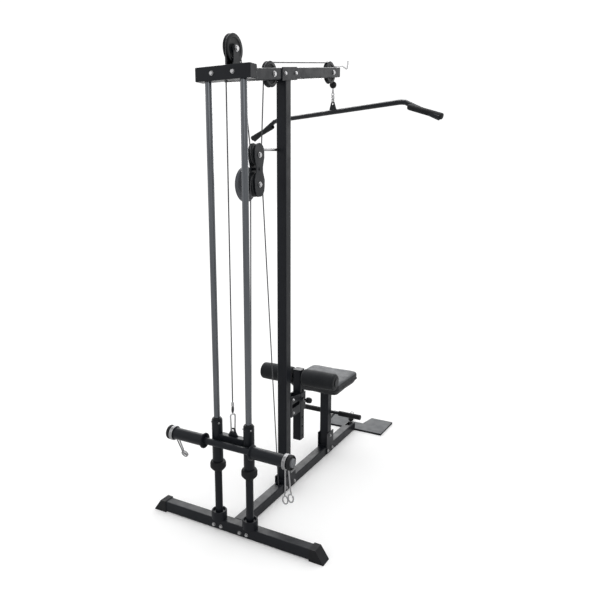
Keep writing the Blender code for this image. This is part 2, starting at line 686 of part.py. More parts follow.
# Weight carriage
def make_carriage():
    sleeves = []
    for side, name in ((1, "left"), (-1, "right")):
        x = side * ROD_X
        bore = 0.0183
        profile = [(bore, SLEEVE_BOTTOM), (SLEEVE_RADIUS, SLEEVE_BOTTOM)]
        profile += [(SLEEVE_RADIUS, SLEEVE_TOP), (bore, SLEEVE_TOP)]
        sleeves.append(turned(profile, "Z", (x, ROD_Y, 0), 24))
        liner, inner = bore - GAP, ROD_RADIUS + 0.0005
        lip = SLEEVE_TOP + GAP
        profile = [
            (inner, SLEEVE_BOTTOM + 0.002), (liner, SLEEVE_BOTTOM + 0.002), (liner, lip), (0.0212, lip),
            (0.0212, lip + 0.004), (0.018, lip + 0.007), (inner, lip + 0.007),
        ]  # fmt: skip
        place(f"guide_bush_{name}", turned(profile, "Z", (x, ROD_Y, 0), 16), "nylon", (x, ROD_Y, 0), True)
        floor, cup = STOP_HEIGHT + GAP, SLEEVE_RADIUS + 3 * GAP
        profile = [
            (inner, floor), (0.018, floor), (0.029, 0.298), (0.0355, 0.306), (0.0355, 0.324),
            (0.0315, 0.334), (cup, 0.334), (cup, SLEEVE_BOTTOM - GAP), (inner, SLEEVE_BOTTOM - GAP),
        ]  # fmt: skip
        place(f"bumper_{name}", turned(profile, "Z", (x, ROD_Y, 0), 20), "rubber", (x, ROD_Y, 0), True)
        make_load_sleeve(side, name)

    frame = place("carriage_frame", sleeves[0], "powder", (0, ROD_Y, 0))
    inner_x = ROD_X - SLEEVE_RADIUS + 0.004
    cross = box((-inner_x, ROD_Y - 0.016, 0.431), (inner_x, ROD_Y + 0.016, 0.469), 0.002)
    join(frame, cross, sleeves[1])
    reach = LOAD_SLEEVE_OUTER - 0.028
    join(frame, along_x(BAR_Y, BAR_Z, -reach, reach, 0.015, 20))
    for side in (1, -1):
        x = side * ROD_X
        join(frame, box((x - 0.012, ROD_Y + 0.019, BAR_Z - 0.010), (x + 0.012, BAR_Y - 0.008, BAR_Z + 0.010)))
    make_spring_clip(1, "left", ((0.022, 0.150), (0.010, 0.135)), radians(31))
    make_spring_clip(-1, "right", ((0.008, 0.150), (-0.018, 0.135)), 0)

    eye_bottom, hole_z = 0.469 + GAP, 0.4925
    tip = arc((0, hole_z), 0.013, radians(-10), radians(190))
    shape = [(-0.025, eye_bottom), (0.025, eye_bottom), *tip]
    plate = outline([shape, circle((0, hole_z), 0.0075, 12)], "XZ", EYE_Y - 0.003, EYE_Y + 0.003)
    place("eye_plate", plate, "powder", (0, EYE_Y, eye_bottom))
    make_carabiner(hole_z)


def make_carabiner(hole_z):
    """An oval steel link through the eye plate's hole, up to the cable's end."""
    wire_radius, half_width = 0.0035, 0.0105
    low, high = hole_z - 0.0075 + wire_radius + GAP, CARABINER_TOP - wire_radius
    turn = radians(50)
    oval = arc((0, high - half_width), half_width, 0, pi, radians(30))
    oval += arc((0, low + 0.0085), 0.0085, pi, 2 * pi, radians(30))
    points = [(u * cos(turn), EYE_Y + u * sin(turn), v) for u, v in oval]
    wire_object("carriage_carabiner", points, wire_radius, cyclic=True)


def make_load_sleeve(side, name):
    inner, outer, r = LOAD_SLEEVE_INNER, LOAD_SLEEVE_OUTER, LOAD_SLEEVE_RADIUS
    bore, blind = 0.0155, LOAD_SLEEVE_OUTER - 0.026
    profile = [
        (bore, inner), (0.034, inner), (0.034, inner + 0.007), (r, inner + 0.007), (r, outer - 0.012),
        (0.0195, outer - 0.012), (0.0195, outer - 0.001), (0.0185, outer), (0, outer), (0, blind),
        (bore, blind),
    ]  # fmt: skip
    profile = [(radius, side * along) for radius, along in profile]
    centre = (0, BAR_Y, BAR_Z)
    place(f"load_sleeve_{name}", turned(profile, "X", centre, 24), "powder", centre, True)


def make_spring_clip(side, name, handles, swing):
    """Wire spring collar on the end of the load sleeve: a coil with two looped handles.

    Each handle is its reach along X and its length; swing turns both forwards from hanging down.
    """
    r = LOAD_SLEEVE_RADIUS
    coil_half = 0.009
    inner, outer = r + GAP, r + 0.0095
    profile = [(inner, -coil_half), (outer, -coil_half), (outer, coil_half), (inner, coil_half)]
    centre = Vector((side * CLIP_X, BAR_Y, BAR_Z))
    clip = place(f"spring_clip_{name}", turned(profile, "X", centre, 24), "chrome", centre, True)
    turn = Matrix.Rotation(-swing, 3, "X")
    for reach, length in handles:
        loop = arc((reach, 0.010 - length - r), 0.0105, radians(60), radians(-230), radians(36))
        middle = 0.010 - length - r
        points = [(0.2 * reach, -r - 0.005)] + [(u, middle + (v - middle) * 1.7) for u, v in loop]
        join(clip, wire([centre + turn @ Vector((u, 0, v)) for u, v in points], 0.0022, sides=1))


# Lat bar and its hanger
def make_lat():
    centre = (0, LAT_Y, LAT_BALL_Z)
    stop = place("lat_stop_ball", ball(centre, BALL_RADIUS), "rubber", centre, True)
    pulley_side = boom_axis(FRONT_Y) - 2 * GAP
    join(stop, cylinder((0, LAT_Y, LAT_BALL_Z), (0, LAT_Y, pulley_side), CABLE_RADIUS, 8))
    join(stop, cylinder((0, LAT_Y, LAT_BALL_Z - 0.034), (0, LAT_Y, LAT_BALL_Z), 0.0045, 12))

    link_top = LAT_BALL_Z - 0.034 - GAP
    count, wire_radius, half_width = 3, 0.003, 0.0075
    bottom = LUG_HOLE_Z - 0.0002
    pitch = (link_top - bottom - 2 * wire_radius) / count
    links = []
    for i in range(count):
        high = link_top - wire_radius - i * pitch
        low = high - pitch - (wire_radius * 0.7 if i < count - 1 else 0)
        oval = arc((0, high - half_width), half_width, 0, pi, radians(36))
        oval += arc((0, low + half_width), half_width, pi, 2 * pi, radians(36))
        turn = radians(90 * (count - i)) + LAT_TURN
        points = [(u * cos(turn), LAT_Y + u * sin(turn), v) for u, v in oval]
        links.append(wire(points, wire_radius, cyclic=True, sides=1))
    chain = place("lat_chain", links[0], "steel", (0, LAT_Y, link_top), True)
    join(chain, *links[1:])

    def swivelled(mesh):
        pivot = Vector((0, LAT_Y, LUG_HOLE_Z))
        turn = Matrix.Rotation(LAT_TURN, 4, "Z") @ Matrix.Rotation(LAT_TILT, 4, "Y")
        mesh.transform(Matrix.Translation(pivot) @ turn @ Matrix.Translation(-pivot))
        return mesh

    bend = [
        (LAT_HALF - 0.03, 0), (LAT_HALF - 0.012, -0.001), (LAT_HALF + 0.012, -0.005),
        (LAT_HALF + 0.03 * cos(LAT_END_DROP), -0.03 * sin(LAT_END_DROP)),
        (LAT_HALF + LAT_END * cos(LAT_END_DROP), -LAT_END * sin(LAT_END_DROP)),
    ]  # fmt: skip
    half = [(x, LAT_Y, LAT_BAR_Z + dz) for x, dz in bend]
    points = [(-x, y, z) for x, y, z in reversed(half)] + half
    bar_mesh = swivelled(wire(points, LAT_BAR_RADIUS, sides=3))
    bar = place("lat_bar", bar_mesh, "powder", (0, LAT_Y, LUG_HOLE_Z), True)
    lug = [(-0.028, LAT_BAR_Z), (0.028, LAT_BAR_Z), *arc((0, LUG_HOLE_Z), 0.012, 0, pi)]
    hole = circle((0, LUG_HOLE_Z), LUG_HOLE_RADIUS)
    join(bar, swivelled(outline([lug, hole], "XZ", LAT_Y - 0.003, LAT_Y + 0.003)))
    for side, name in ((1, "left"), (-1, "right")):
        make_lat_grip(side, name, swivelled)


def make_lat_grip(side, name, swivelled):
    """Rubber sleeve over the bent end of the bar, closed at its tip."""
    length, bore = LAT_END - 0.045, LAT_BAR_RADIUS + GAP
    outer, tip = LAT_BAR_RADIUS + 0.0035, 0.006
    profile = [(bore, 0), (outer - 0.001, 0), (outer, 0.002), (outer, length + tip - 0.003)]
    profile += [(outer - 0.003, length + tip), (0, length + tip), (0, length + GAP), (bore, length + GAP)]
    mesh = turned(profile, "X", segments=20)
    centre_x, drop = LAT_HALF + 0.045 * cos(LAT_END_DROP), -0.045 * sin(LAT_END_DROP)
    mesh.transform(Matrix.Rotation(LAT_END_DROP, 4, "Y"))
    mesh.transform(Matrix.Translation((centre_x, LAT_Y, LAT_BAR_Z + drop)))
    if side < 0:
        mesh.transform(Matrix.Rotation(pi, 4, Vector((0, 0, 1))))
        mesh.transform(Matrix.Translation((0, 2 * LAT_Y, 0)))
    place(f"lat_grip_{name}", swivelled(mesh), "rubber", (0, LAT_Y, LUG_HOLE_Z), True)


# Seat and hold-down
def make_seat():
    half = TUBE / 2
    front = SEAT_POST_Y - half
    post_mesh = square_tube("XY", (0, SEAT_POST_Y), BASE_TOP + GAP, SEAT_PLATE_Z + 0.002)
    post = place("seat_post", post_mesh, "powder")
    low = (-0.110, SEAT_FRONT + 0.045, SEAT_PLATE_Z)
    join(post, box(low, (0.110, SEAT_REAR - 0.045, SEAT_PLATE_Z + 0.005)))
    centre = Vector((0, SEAT_POST_Y, SEAT_PLATE_Z))
    cut(post, cylinder(centre - Vector((0, 0, 0.01)), centre + Vector((0, 0, 0.01)), 0.012))
    join(post, *foot_bracket(SEAT_POST_Y - 0.045, SEAT_POST_Y + 0.040, 0.135))
    rest = ROW_BAR_Z - 0.0065 - GAP
    hook = [
        (front + 0.002, rest - 0.016), (ROW_BAR_Y - 0.013, rest - 0.004), (ROW_BAR_Y - 0.013, rest + 0.014),
        (ROW_BAR_Y - 0.009, rest + 0.014), (ROW_BAR_Y - 0.009, rest), (front + 0.002, rest),
    ]  # fmt: skip
    for x in (-0.019, 0.019):
        join(post, outline([hook], "YZ", x - 0.003, x + 0.003))

    low = (-SEAT_HALF_WIDTH, SEAT_FRONT)
    high = (SEAT_HALF_WIDTH, SEAT_REAR)
    pad_mesh = outline([rounded(low, high, 0.035)], "XY", SEAT_PLATE_Z + 0.005 + GAP, SEAT_TOP)
    middle_y = (SEAT_FRONT + SEAT_REAR) / 2
    for vert in pad_mesh.vertices:
        if vert.co.z < SEAT_TOP - 0.01:  # the sides lean in towards the board underneath
            vert.co.x *= 1 - SEAT_TAPER / SEAT_HALF_WIDTH
            vert.co.y += (middle_y - vert.co.y) * SEAT_TAPER / SEAT_HALF_WIDTH
    pad = place("seat_pad", pad_mesh, "vinyl")
    soften = pad.modifiers.new("soften", "BEVEL")
    soften.width = 0.008
    soften.segments = 2
    soften.angle_limit = radians(50)


def make_holddown():
    half, half_post = 0.028, HOLDDOWN_TUBE / 2
    y, mast_front = HOLDDOWN_Y, MAST_Y - TUBE / 2 - GAP
    arm = y + half
    side = [
        (mast_front, 0.384), (mast_front, 0.494), (arm - 0.002, 0.480), (arm - 0.002, 0.384),
    ]  # fmt: skip
    notch = rounded((arm + 0.008, 0.428), (mast_front - 0.010, 0.450), 0.006)
    bracket = place("holddown_bracket", outline([side, notch], "YZ", -0.0265, 0.0265), "powder")
    cut(bracket, box((-0.0225, arm + 0.002, 0.34), (0.0225, mast_front - 0.004, 0.53)))
    sleeve = [rounded((-half, y - half), (half, y + half), 0.004)]
    fit = half_post + 0.0006
    join(bracket, outline(sleeve, "XY", 0.384, 0.480))
    cut(bracket, box((-fit, y - fit, 0.3), (fit, y + fit, 0.6)))
    cut(bracket, along_x(y, PIN_Z, -0.04, -0.02, 0.0056))

    tube = square_tube("XY", (0, y), HOLDDOWN_BOTTOM, HOLDDOWN_TOP, HOLDDOWN_TUBE)
    post = place("holddown_post", tube, "powder", (0, y, ROLLER_Z))
    cap = half_post - 0.001
    join(post, box((-cap, y - cap, HOLDDOWN_TOP - 0.004), (cap, y + cap, HOLDDOWN_TOP - 0.0005)))
    holes = [PIN_Z + 0.05 * step for step in range(-4, 2)]
    cut(post, *[along_x(y, z, -0.04, -0.01, 0.006, 12) for z in holes])
    reach = ROLLER_OUTER + 0.006
    bar = turned(
        [(0, -reach), (0.021, -reach), (0.021, -reach + 0.004), (0.012, -reach + 0.004), (0.012, reach - 0.004),
         (0.021, reach - 0.004), (0.021, reach), (0, reach)],
        "X", (0, y, ROLLER_Z), 16,
    )  # fmt: skip
    join(post, bar)

    for side_sign, name in ((1, "left"), (-1, "right")):
        r = ROLLER_RADIUS
        profile = [(0.0126, ROLLER_INNER), (r - 0.012, ROLLER_INNER), (r - 0.004, ROLLER_INNER + 0.003)]
        profile += [(r, ROLLER_INNER + 0.012), (r, ROLLER_OUTER - 0.012), (r - 0.004, ROLLER_OUTER - 0.003)]
        profile += [(r - 0.012, ROLLER_OUTER), (0.0126, ROLLER_OUTER)]
        profile = [(radius, side_sign * x) for radius, x in profile]
        centre = (0, y, ROLLER_Z)
        place(f"thigh_roller_{name}", turned(profile, "X", centre, 24), "foam", centre, True)

    knob = [
        (0, -half_post - GAP), (0.005, -half_post - GAP), (0.005, -half - GAP), (0.0095, -half - GAP),
        (0.0095, -half - 0.010), (0.006, -half - 0.012), (0.006, -half - 0.018), (0.013, -half - 0.020),
        (0.0155, -half - 0.030), (0.0155, -half - 0.040), (0.012, -half - 0.046), (0, -half - 0.048),
    ]  # fmt: skip
    centre = (0, y, PIN_Z)
    place("pop_pin", turned(knob, "X", centre, 16), "nylon", centre, True)


# Low row handle and cable end
def make_low_row():
    stop = place("low_stop_ball", ball(ROW_BALL, 0.016), "rubber", ROW_BALL, True)
    join(stop, cylinder(ROW_EXIT + 2 * GAP * ROW_PULL, ROW_BALL, CABLE_RADIUS, 8))
    join(stop, cylinder(ROW_BALL, ROW_BALL + 0.028 * ROW_PULL, 0.0045, 12))

    bare, grip, inner, end = 0.0065, 0.013, 0.050, ROW_BAR_HALF
    half = [(0, end), (grip - 0.002, end), (grip, end - 0.003), (grip, inner), (bare, inner)]
    profile = half + [(r, -x) for r, x in reversed(half)]
    centre = (0, ROW_BAR_Y, ROW_BAR_Z)
    bar = place("low_row_bar", turned(profile, "X", centre, 20), "rubber", centre, True)
    ring = [(0, y, z) for y, z in circle((ROW_BAR_Y, ROW_BAR_Z - 0.0135), 0.009, 12)]
    join(bar, wire(ring, 0.0028, cyclic=True, sides=1))


def centre_on_footprint():
    for obj in bpy.data.objects:
        obj.location.y += CENTRE_SHIFT


make_base()
make_mast()
make_boom()
make_top()
make_bar_hook()
make_pulleys()
make_block()
make_cables()
make_carriage()
make_lat()
make_seat()
make_holddown()
make_low_row()
centre_on_footprint()
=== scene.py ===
"""Visual model of the lat pulldown machine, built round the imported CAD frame.

+X is the seated user's right, +Y the weight carriage's side, -Y the seat's, +Z up, in metres.
"""

import json
from math import cos, pi, radians, sin

import bmesh
import bpy
from mathutils import Matrix, Vector


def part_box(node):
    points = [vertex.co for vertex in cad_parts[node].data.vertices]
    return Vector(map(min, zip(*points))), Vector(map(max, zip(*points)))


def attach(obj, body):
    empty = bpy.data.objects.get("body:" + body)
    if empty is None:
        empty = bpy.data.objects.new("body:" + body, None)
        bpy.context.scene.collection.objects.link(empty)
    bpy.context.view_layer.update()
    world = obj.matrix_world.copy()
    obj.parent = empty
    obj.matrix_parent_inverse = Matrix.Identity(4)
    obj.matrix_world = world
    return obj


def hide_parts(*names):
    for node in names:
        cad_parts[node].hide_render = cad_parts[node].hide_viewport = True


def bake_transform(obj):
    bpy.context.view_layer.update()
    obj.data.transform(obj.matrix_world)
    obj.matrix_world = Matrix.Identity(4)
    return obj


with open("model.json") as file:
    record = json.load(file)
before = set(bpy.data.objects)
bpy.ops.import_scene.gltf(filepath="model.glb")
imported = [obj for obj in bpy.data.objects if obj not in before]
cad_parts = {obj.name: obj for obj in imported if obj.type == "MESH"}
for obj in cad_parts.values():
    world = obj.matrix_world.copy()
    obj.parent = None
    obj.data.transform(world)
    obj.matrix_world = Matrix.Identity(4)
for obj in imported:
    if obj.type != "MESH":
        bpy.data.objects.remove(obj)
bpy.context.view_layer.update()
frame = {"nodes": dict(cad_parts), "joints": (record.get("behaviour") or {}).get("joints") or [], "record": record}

NODES = frame["nodes"]

# The frame's tubes and what is bolted or welded to them
TUBE_HALF = 0.025
PLATE_FACE = 0.0293  # outer face of a bracket plate on a tube's side
BEAM_WELD_Z = 0.0573  # the beads where the uprights stand on the floor beam
BOOM_SLOPE = 0.15
MAST_REACH, SEAT_REACH = 0.452, 0.933  # from the guide rods to the mast's and the seat post's middle
SMALL_BOLT = {"across": 0.011, "height": 0.0045, "washer": 0.0072}
SMALL_SCREW = {"across": 0.007, "height": 0.0025, "washer": 0.0045}

# Carriage, cables and bars
ROD_BORE = 0.0141  # in everything that slides on a guide rod or stands round it
LOAD_SLEEVE_RADIUS, LOAD_SLEEVE_BORE = 0.0265, 0.0156
CARRIAGE_TUBE_X, CARRIAGE_TUBE_RADIUS, SLEEVE_SCREW_Z = 0.083, 0.0239, 0.520
CABLE_RADIUS = 0.0028
LAT_SWIVEL = radians(-18.5)  # how far the hanging bar is turned at rest
ROW_ROD_RADIUS, ROW_GRIP_RADIUS, ROW_GRIP_START = 0.0092, 0.0150, 0.050
CLIP_X = 0.293  # the middle of each spring clip's coil
# How far each spring clip's handles swing forwards, and how far sideways its two loops reach
CLIP_HANDLES = {"left": (radians(31), (0.022, 0.010)), "right": (0.0, (0.008, -0.018))}


# ---------------------------------------------------------------- small helpers
def centre(node):
    """The middle of a CAD node's box."""
    low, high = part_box(node)
    return (low + high) / 2


def size(node):
    """The size of a CAD node's box."""
    low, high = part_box(node)
    return high - low


def mirrored(half):
    """Half a (radius, along) profile and its mirror image, sharing any point on the middle."""
    return half + [(r, -x) for r, x in reversed(half) if x]


def ellipse(at, first, second, step=15):
    """Points round a centre, from the ellipse's two half axes and the step in degrees."""
    at, first, second = Vector(at), Vector(first), Vector(second)
    return [at + cos(radians(k)) * first + sin(radians(k)) * second for k in range(0, 360, step)]


def rounded_outline(x, y0, y1, corner, steps):
    """Outline of a rectangle from -x to x and y0 to y1, with each corner in so many steps."""
    points = []
    for sx, y, sy, start in ((1, y1, 1, 0), (-1, y1, 1, 90), (-1, y0, -1, 180), (1, y0, -1, 270)):
        for k in range(steps + 1):
            angle = radians(start + 90 * k / steps)
            points.append((sx * (x - corner) + corner * cos(angle), y - sy * corner + corner * sin(angle)))
    return points


def from_bmesh(name, bm, material, smooth=40):
    """An object with one material, smooth up to the given angle between faces."""
    bmesh.ops.recalc_face_normals(bm, faces=bm.faces)
    mesh = bpy.data.meshes.new(name)
    bm.to_mesh(mesh)
    bm.free()
    obj = bpy.data.objects.new(name, mesh)
    bpy.context.scene.collection.objects.link(obj)
    mesh.materials.append(material)
    mesh.shade_smooth()
    mesh.set_sharp_from_angle(angle=radians(smooth))
    return obj


def own(obj, body, slot, *nodes):
    """Rides obj on a body and lets it stand for CAD nodes, which it hides. The slot is not used."""
    if nodes:
        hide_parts(*nodes)
    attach(obj, body)
    return obj


def turn_to(direction):
    """The turn that takes +Z to a direction."""
    return Vector((0, 0, 1)).rotation_difference(Vector(direction)).to_matrix()


def add_lathe(bm, profile, direction, at, segments=64, closed=True):
    """Adds a (radius, along) profile turned about a direction through a point."""
    profile = [(max(r, 0), a) for r, a in profile]
    rings = []
    turn = turn_to(direction)
    for radius, along in profile:
        if radius == 0:
            rings.append([bm.verts.new(turn @ Vector((0, 0, along)) + Vector(at))])
            continue
        ring = []
        for i in range(segments):
            angle = 2 * pi * i / segments
            point = Vector((radius * cos(angle), radius * sin(angle), along))
            ring.append(bm.verts.new(turn @ point + Vector(at)))
        rings.append(ring)
    pairs = list(zip(rings, rings[1:]))
    if closed:
        pairs.append((rings[-1], rings[0]))
    for first, second in pairs:
        if len(first) == 1 and len(second) == 1:
            continue
        for i in range(segments):
            j = (i + 1) % segments
            a, b = first[i % len(first)], first[j % len(first)]
            c, d = second[j % len(second)], second[i % len(second)]
            bm.faces.new([v for k, v in enumerate((a, b, c, d)) if v not in (a, b, c, d)[:k]])


def lathe(name, profile, direction, at, material, segments=64, closed=True, smooth=40):
    """An object made of one turned profile."""
    bm = bmesh.new()
    add_lathe(bm, profile, direction, at, segments, closed)
    return from_bmesh(name, bm, material, smooth)


def add_bolt(bm, at, direction, across=0.013, height=0.0052, washer=0.0085, nut=False):
    """A hexagonal bolt head, or a nut with the bolt's end, on a washer."""
    turn = turn_to(direction)
    at = Vector(at)
    along = Vector(direction).normalized()
    thick = 0.0014
    ring = [(0, 0), (washer, 0), (washer, thick - 0.0004), (washer - 0.0004, thick), (0, thick)]
    add_lathe(bm, ring, direction, at, 28, closed=False)
    radius = across / 2 / cos(pi / 6)
    chamfer = 0.0012
    rings = []
    levels = ((radius, thick), (radius, thick + height - chamfer), (radius * 0.88, thick + height))
    for r, level in levels:
        points = [Vector((r * cos(pi * k / 3), r * sin(pi * k / 3), level)) for k in range(6)]
        rings.append([bm.verts.new(turn @ p + at) for p in points])
    for low, high in zip(rings, rings[1:]):
        for i in range(6):
            j = (i + 1) % 6
            bm.faces.new((low[i], low[j], high[j], high[i]))
    bm.faces.new(rings[0][::-1])
    bm.faces.new(rings[-1])
    if nut:
        end = [(0, 0), (across * 0.3, 0), (across * 0.3, 0.0025), (across * 0.25, 0.0035), (0, 0.0035)]
        add_lathe(bm, end, direction, at + along * (thick + height - 0.0002), 20, closed=False)


def bolts(name, spots, material, body, slot="zinc_steel", **kw):
    """One object of several bolts: (point, direction, is it a nut)."""
    bm = bmesh.new()
    for at, direction, nut in spots:
        add_bolt(bm, at, direction, nut=nut, **kw)
    return own(from_bmesh(name, bm, material, 30), body, slot)


def add_wire(bm, points, radius, sides=10, closed=False):
    """A round wire swept along points, with rounded ends."""
    points = [Vector(p) for p in points]
    count = len(points)
    tangents = []
    for i in range(count):
        before = points[i - 1] if closed or i else points[i]
        after = points[(i + 1) % count] if closed or i < count - 1 else points[i]
        tangents.append((after - before).normalized())
    normal = tangents[0].orthogonal().normalized()
    rings = []
    for i, (point, tangent) in enumerate(zip(points, tangents)):
        if i:
            normal = tangents[i - 1].rotation_difference(tangent) @ normal
        side = tangent.cross(normal)
        ring = []
        for k in range(sides):
            angle = 2 * pi * k / sides
            ring.append(bm.verts.new(point + radius * (cos(angle) * normal + sin(angle) * side)))
        rings.append(ring)
    pairs = list(zip(rings, rings[1:]))
    shift = 0
    if closed:
        first = rings[0][0].co
        shift = min(range(sides), key=lambda k: (rings[-1][k].co - first).length)
        pairs.append((rings[-1][shift:] + rings[-1][:shift], rings[0]))
    for low, high in pairs:
        for k in range(sides):
            m = (k + 1) % sides
            bm.faces.new((low[k], low[m], high[m], high[k]))
    if not closed:
        ends = (rings[0], points[0], -tangents[0]), (rings[-1], points[-1], tangents[-1])
        for ring, point, out in ends:
            tip = bm.verts.new(point + out * radius * 0.6)
            for k in range(sides):
                bm.faces.new((ring[k], ring[(k + 1) % sides], tip))


def wire(name, points, radius, material, sides=10, closed=False):
    """An object made of one swept wire."""
    bm = bmesh.new()
    add_wire(bm, points, radius, sides, closed)
    return from_bmesh(name, bm, material, 60)


def smooth_curve(points, per_span=8):
    """Points on a Catmull-Rom curve through the given ones."""
    points = [Vector(p) for p in points]
    ends = [points[0] * 2 - points[1], *points, points[-1] * 2 - points[-2]]
    out = []
    for a, b, c, d in zip(ends, ends[1:], ends[2:], ends[3:]):
        for i in range(per_span):
            t = i / per_span
            square, cube = 2 * a - 5 * b + 4 * c - d, 3 * b - a - 3 * c + d
            out.append(0.5 * (2 * b + (c - a) * t + square * t**2 + cube * t**3))
    return [*out, points[-1]]


def oval_loop(at, half_width, top, bottom, turn, steps):
    """A closed oval of points standing in a vertical plane turned about Z."""
    arcs = []
    for middle, start in ((top - half_width, 0), (bottom + half_width, pi)):
        for i in range(steps + 1):
            angle = start + pi * i / steps
            arcs.append((half_width * cos(angle), middle + half_width * sin(angle)))
    return [(at[0] + u * cos(turn), at[1] + u * sin(turn), v) for u, v in arcs]


def copy_of(node, name, material):
    """A copy of a CAD node's mesh, with the given material."""
    obj = bpy.data.objects.new(name, NODES[node].data.copy())
    bpy.context.scene.collection.objects.link(obj)
    obj.data.materials.clear()
    obj.data.materials.append(material)
    return obj


# ---------------------------------------------------------------- materials
class Shader:
    """A Principled material with a few procedural layers."""

    def __init__(self, name, colour, metallic, roughness, coat=0.0, specular=0.5):
        self.material = bpy.data.materials.new(name)
        self.material.use_nodes = True
        self.nodes = self.material.node_tree.nodes
        self.links = self.material.node_tree.links
        self.out = self.nodes["Principled BSDF"]
        self.out.inputs["Base Color"].default_value = (*colour, 1)
        self.out.inputs["Metallic"].default_value = metallic
        self.out.inputs["Roughness"].default_value = roughness
        self.out.inputs["Coat Weight"].default_value = coat
        self.out.inputs["Coat Roughness"].default_value = 0.25
        self.out.inputs["Specular IOR Level"].default_value = specular
        self.place = self.nodes.new("ShaderNodeTexCoord").outputs["Object"]
        self.height = None

    def noise(self, scale, detail=3.0, rough=0.55, stretch=None):
        """A cloudy value from 0 to 1, finer as its scale grows."""
        node = self.nodes.new("ShaderNodeTexNoise")
        node.inputs["Scale"].default_value = scale
        node.inputs["Detail"].default_value = detail
        node.inputs["Roughness"].default_value = rough
        self.links.new(self.scaled(stretch), node.inputs["Vector"])
        return node.outputs["Fac"]

    def scaled(self, stretch):
        """The object's own coordinates, stretched along its axes or as they are."""
        if stretch is None:
            return self.place
        node = self.nodes.new("ShaderNodeMapping")
        node.inputs["Scale"].default_value = stretch
        self.links.new(self.place, node.inputs["Vector"])
        return node.outputs["Vector"]

    def cells(self, scale):
        """The pebbles of leather grain."""
        node = self.nodes.new("ShaderNodeTexVoronoi")
        node.inputs["Scale"].default_value = scale
        self.links.new(self.place, node.inputs["Vector"])
        return node.outputs["Distance"]

    def ramp(self, value, low, high, start=0.35, end=0.65):
        """A value stretched from start..end to low..high."""
        node = self.nodes.new("ShaderNodeMapRange")
        node.inputs["From Min"].default_value = start
        node.inputs["From Max"].default_value = end
        node.inputs["To Min"].default_value = low
        node.inputs["To Max"].default_value = high
        self.links.new(value, node.inputs["Value"])
        return node.outputs["Result"]

    def mix(self, value, first, second):
        """A base colour that goes from the first to the second with a value."""
        node = self.nodes.new("ShaderNodeMix")
        node.data_type = "RGBA"
        node.inputs["A"].default_value = (*first, 1)
        node.inputs["B"].default_value = (*second, 1)
        self.links.new(value, node.inputs["Factor"])
        self.links.new(node.outputs["Result"], self.out.inputs["Base Color"])

    def rough(self, value):
        """A roughness that follows a value."""
        self.links.new(value, self.out.inputs["Roughness"])

    def bump(self, value, distance, strength=1.0):
        """One more layer of relief, on top of those before it."""
        node = self.nodes.new("ShaderNodeBump")
        node.inputs["Strength"].default_value = strength
        node.inputs["Distance"].default_value = distance
        self.links.new(value, node.inputs["Height"])
        if self.height:
            self.links.new(self.height, node.inputs["Normal"])
        self.height = node.outputs["Normal"]
        self.links.new(self.height, self.out.inputs["Normal"])


def powder(name, dark, light, rough=0.36, coat=0.0):
    """Powder coat: a fine orange peel, faint scuffs and dust."""
    shader = Shader(name, dark, 0.0, rough, coat, specular=0.12)
    shader.mix(shader.ramp(shader.noise(7, 5, 0.62), 0, 1, 0.3, 0.75), dark, light)
    shader.rough(shader.ramp(shader.noise(24, 4), rough - 0.05, rough + 0.08))
    shader.bump(shader.noise(900, 2), 0.00012, 0.55)
    shader.bump(shader.noise(60, 1), 0.0002, 0.2)
    return shader.material


def lit_top_powder(name, edge, dark, light):
    """Powder coat painted lighter where it faces up, a painted lit top standing in for the light that falls on it;
    still black on its edges.
    """
    shader = Shader(name, dark, 0.0, 0.5, specular=0.12)
    shader.mix(shader.ramp(shader.noise(7, 5, 0.62), 0, 1, 0.3, 0.75), dark, light)
    painted_lit_top = shader.out.inputs["Base Color"].links[0].from_socket
    normal = shader.nodes.new("ShaderNodeSeparateXYZ")
    geometry = shader.nodes.new("ShaderNodeNewGeometry")
    shader.links.new(geometry.outputs["True Normal"], normal.inputs["Vector"])
    both = shader.nodes.new("ShaderNodeMix")
    both.data_type = "RGBA"
    both.inputs["A"].default_value = (*edge, 1)
    shader.links.new(painted_lit_top, both.inputs["B"])
    # Mask by the normal's Z: faces that look up get the painted lit top, the rest stay black.
    shader.links.new(shader.ramp(normal.outputs["Z"], 0, 1, 0.5, 0.9), both.inputs["Factor"])
    shader.links.new(both.outputs["Result"], shader.out.inputs["Base Color"])
    shader.rough(shader.ramp(shader.noise(24, 4), 0.45, 0.58))
    shader.bump(shader.noise(900, 2), 0.00012, 0.55)
    return shader.material


def metal(name, dark, light, rough, stretch=None):
    """Bare or plated steel, its grain drawn out along one axis if it is stretched."""
    shader = Shader(name, dark, 1.0, rough)
    shader.mix(shader.ramp(shader.noise(40, 4, 0.6, stretch), 0, 1), dark, light)
    shader.rough(shader.ramp(shader.noise(80, 3, 0.6, stretch), rough * 0.7, rough * 1.4))
    shader.bump(shader.noise(300, 2, 0.5, stretch), 0.00005, 0.3)
    return shader.material


def twisted_steel():
    """Wire rope: bands that wind round the cable's own axis."""
    shader = Shader("cable_steel", (0.07, 0.07, 0.075), 0.85, 0.5)
    node = shader.nodes.new("ShaderNodeTexWave")
    node.wave_type = "BANDS"
    node.bands_direction = "DIAGONAL"
    node.inputs["Scale"].default_value = 260
    node.inputs["Distortion"].default_value = 0.6
    shader.links.new(shader.place, node.inputs["Vector"])
    bands = node.outputs["Fac"]
    shader.mix(shader.ramp(bands, 0, 1, 0.1, 0.9), (0.024, 0.024, 0.026), (0.085, 0.086, 0.09))
    shader.bump(bands, 0.0006, 0.7)
    return shader.material


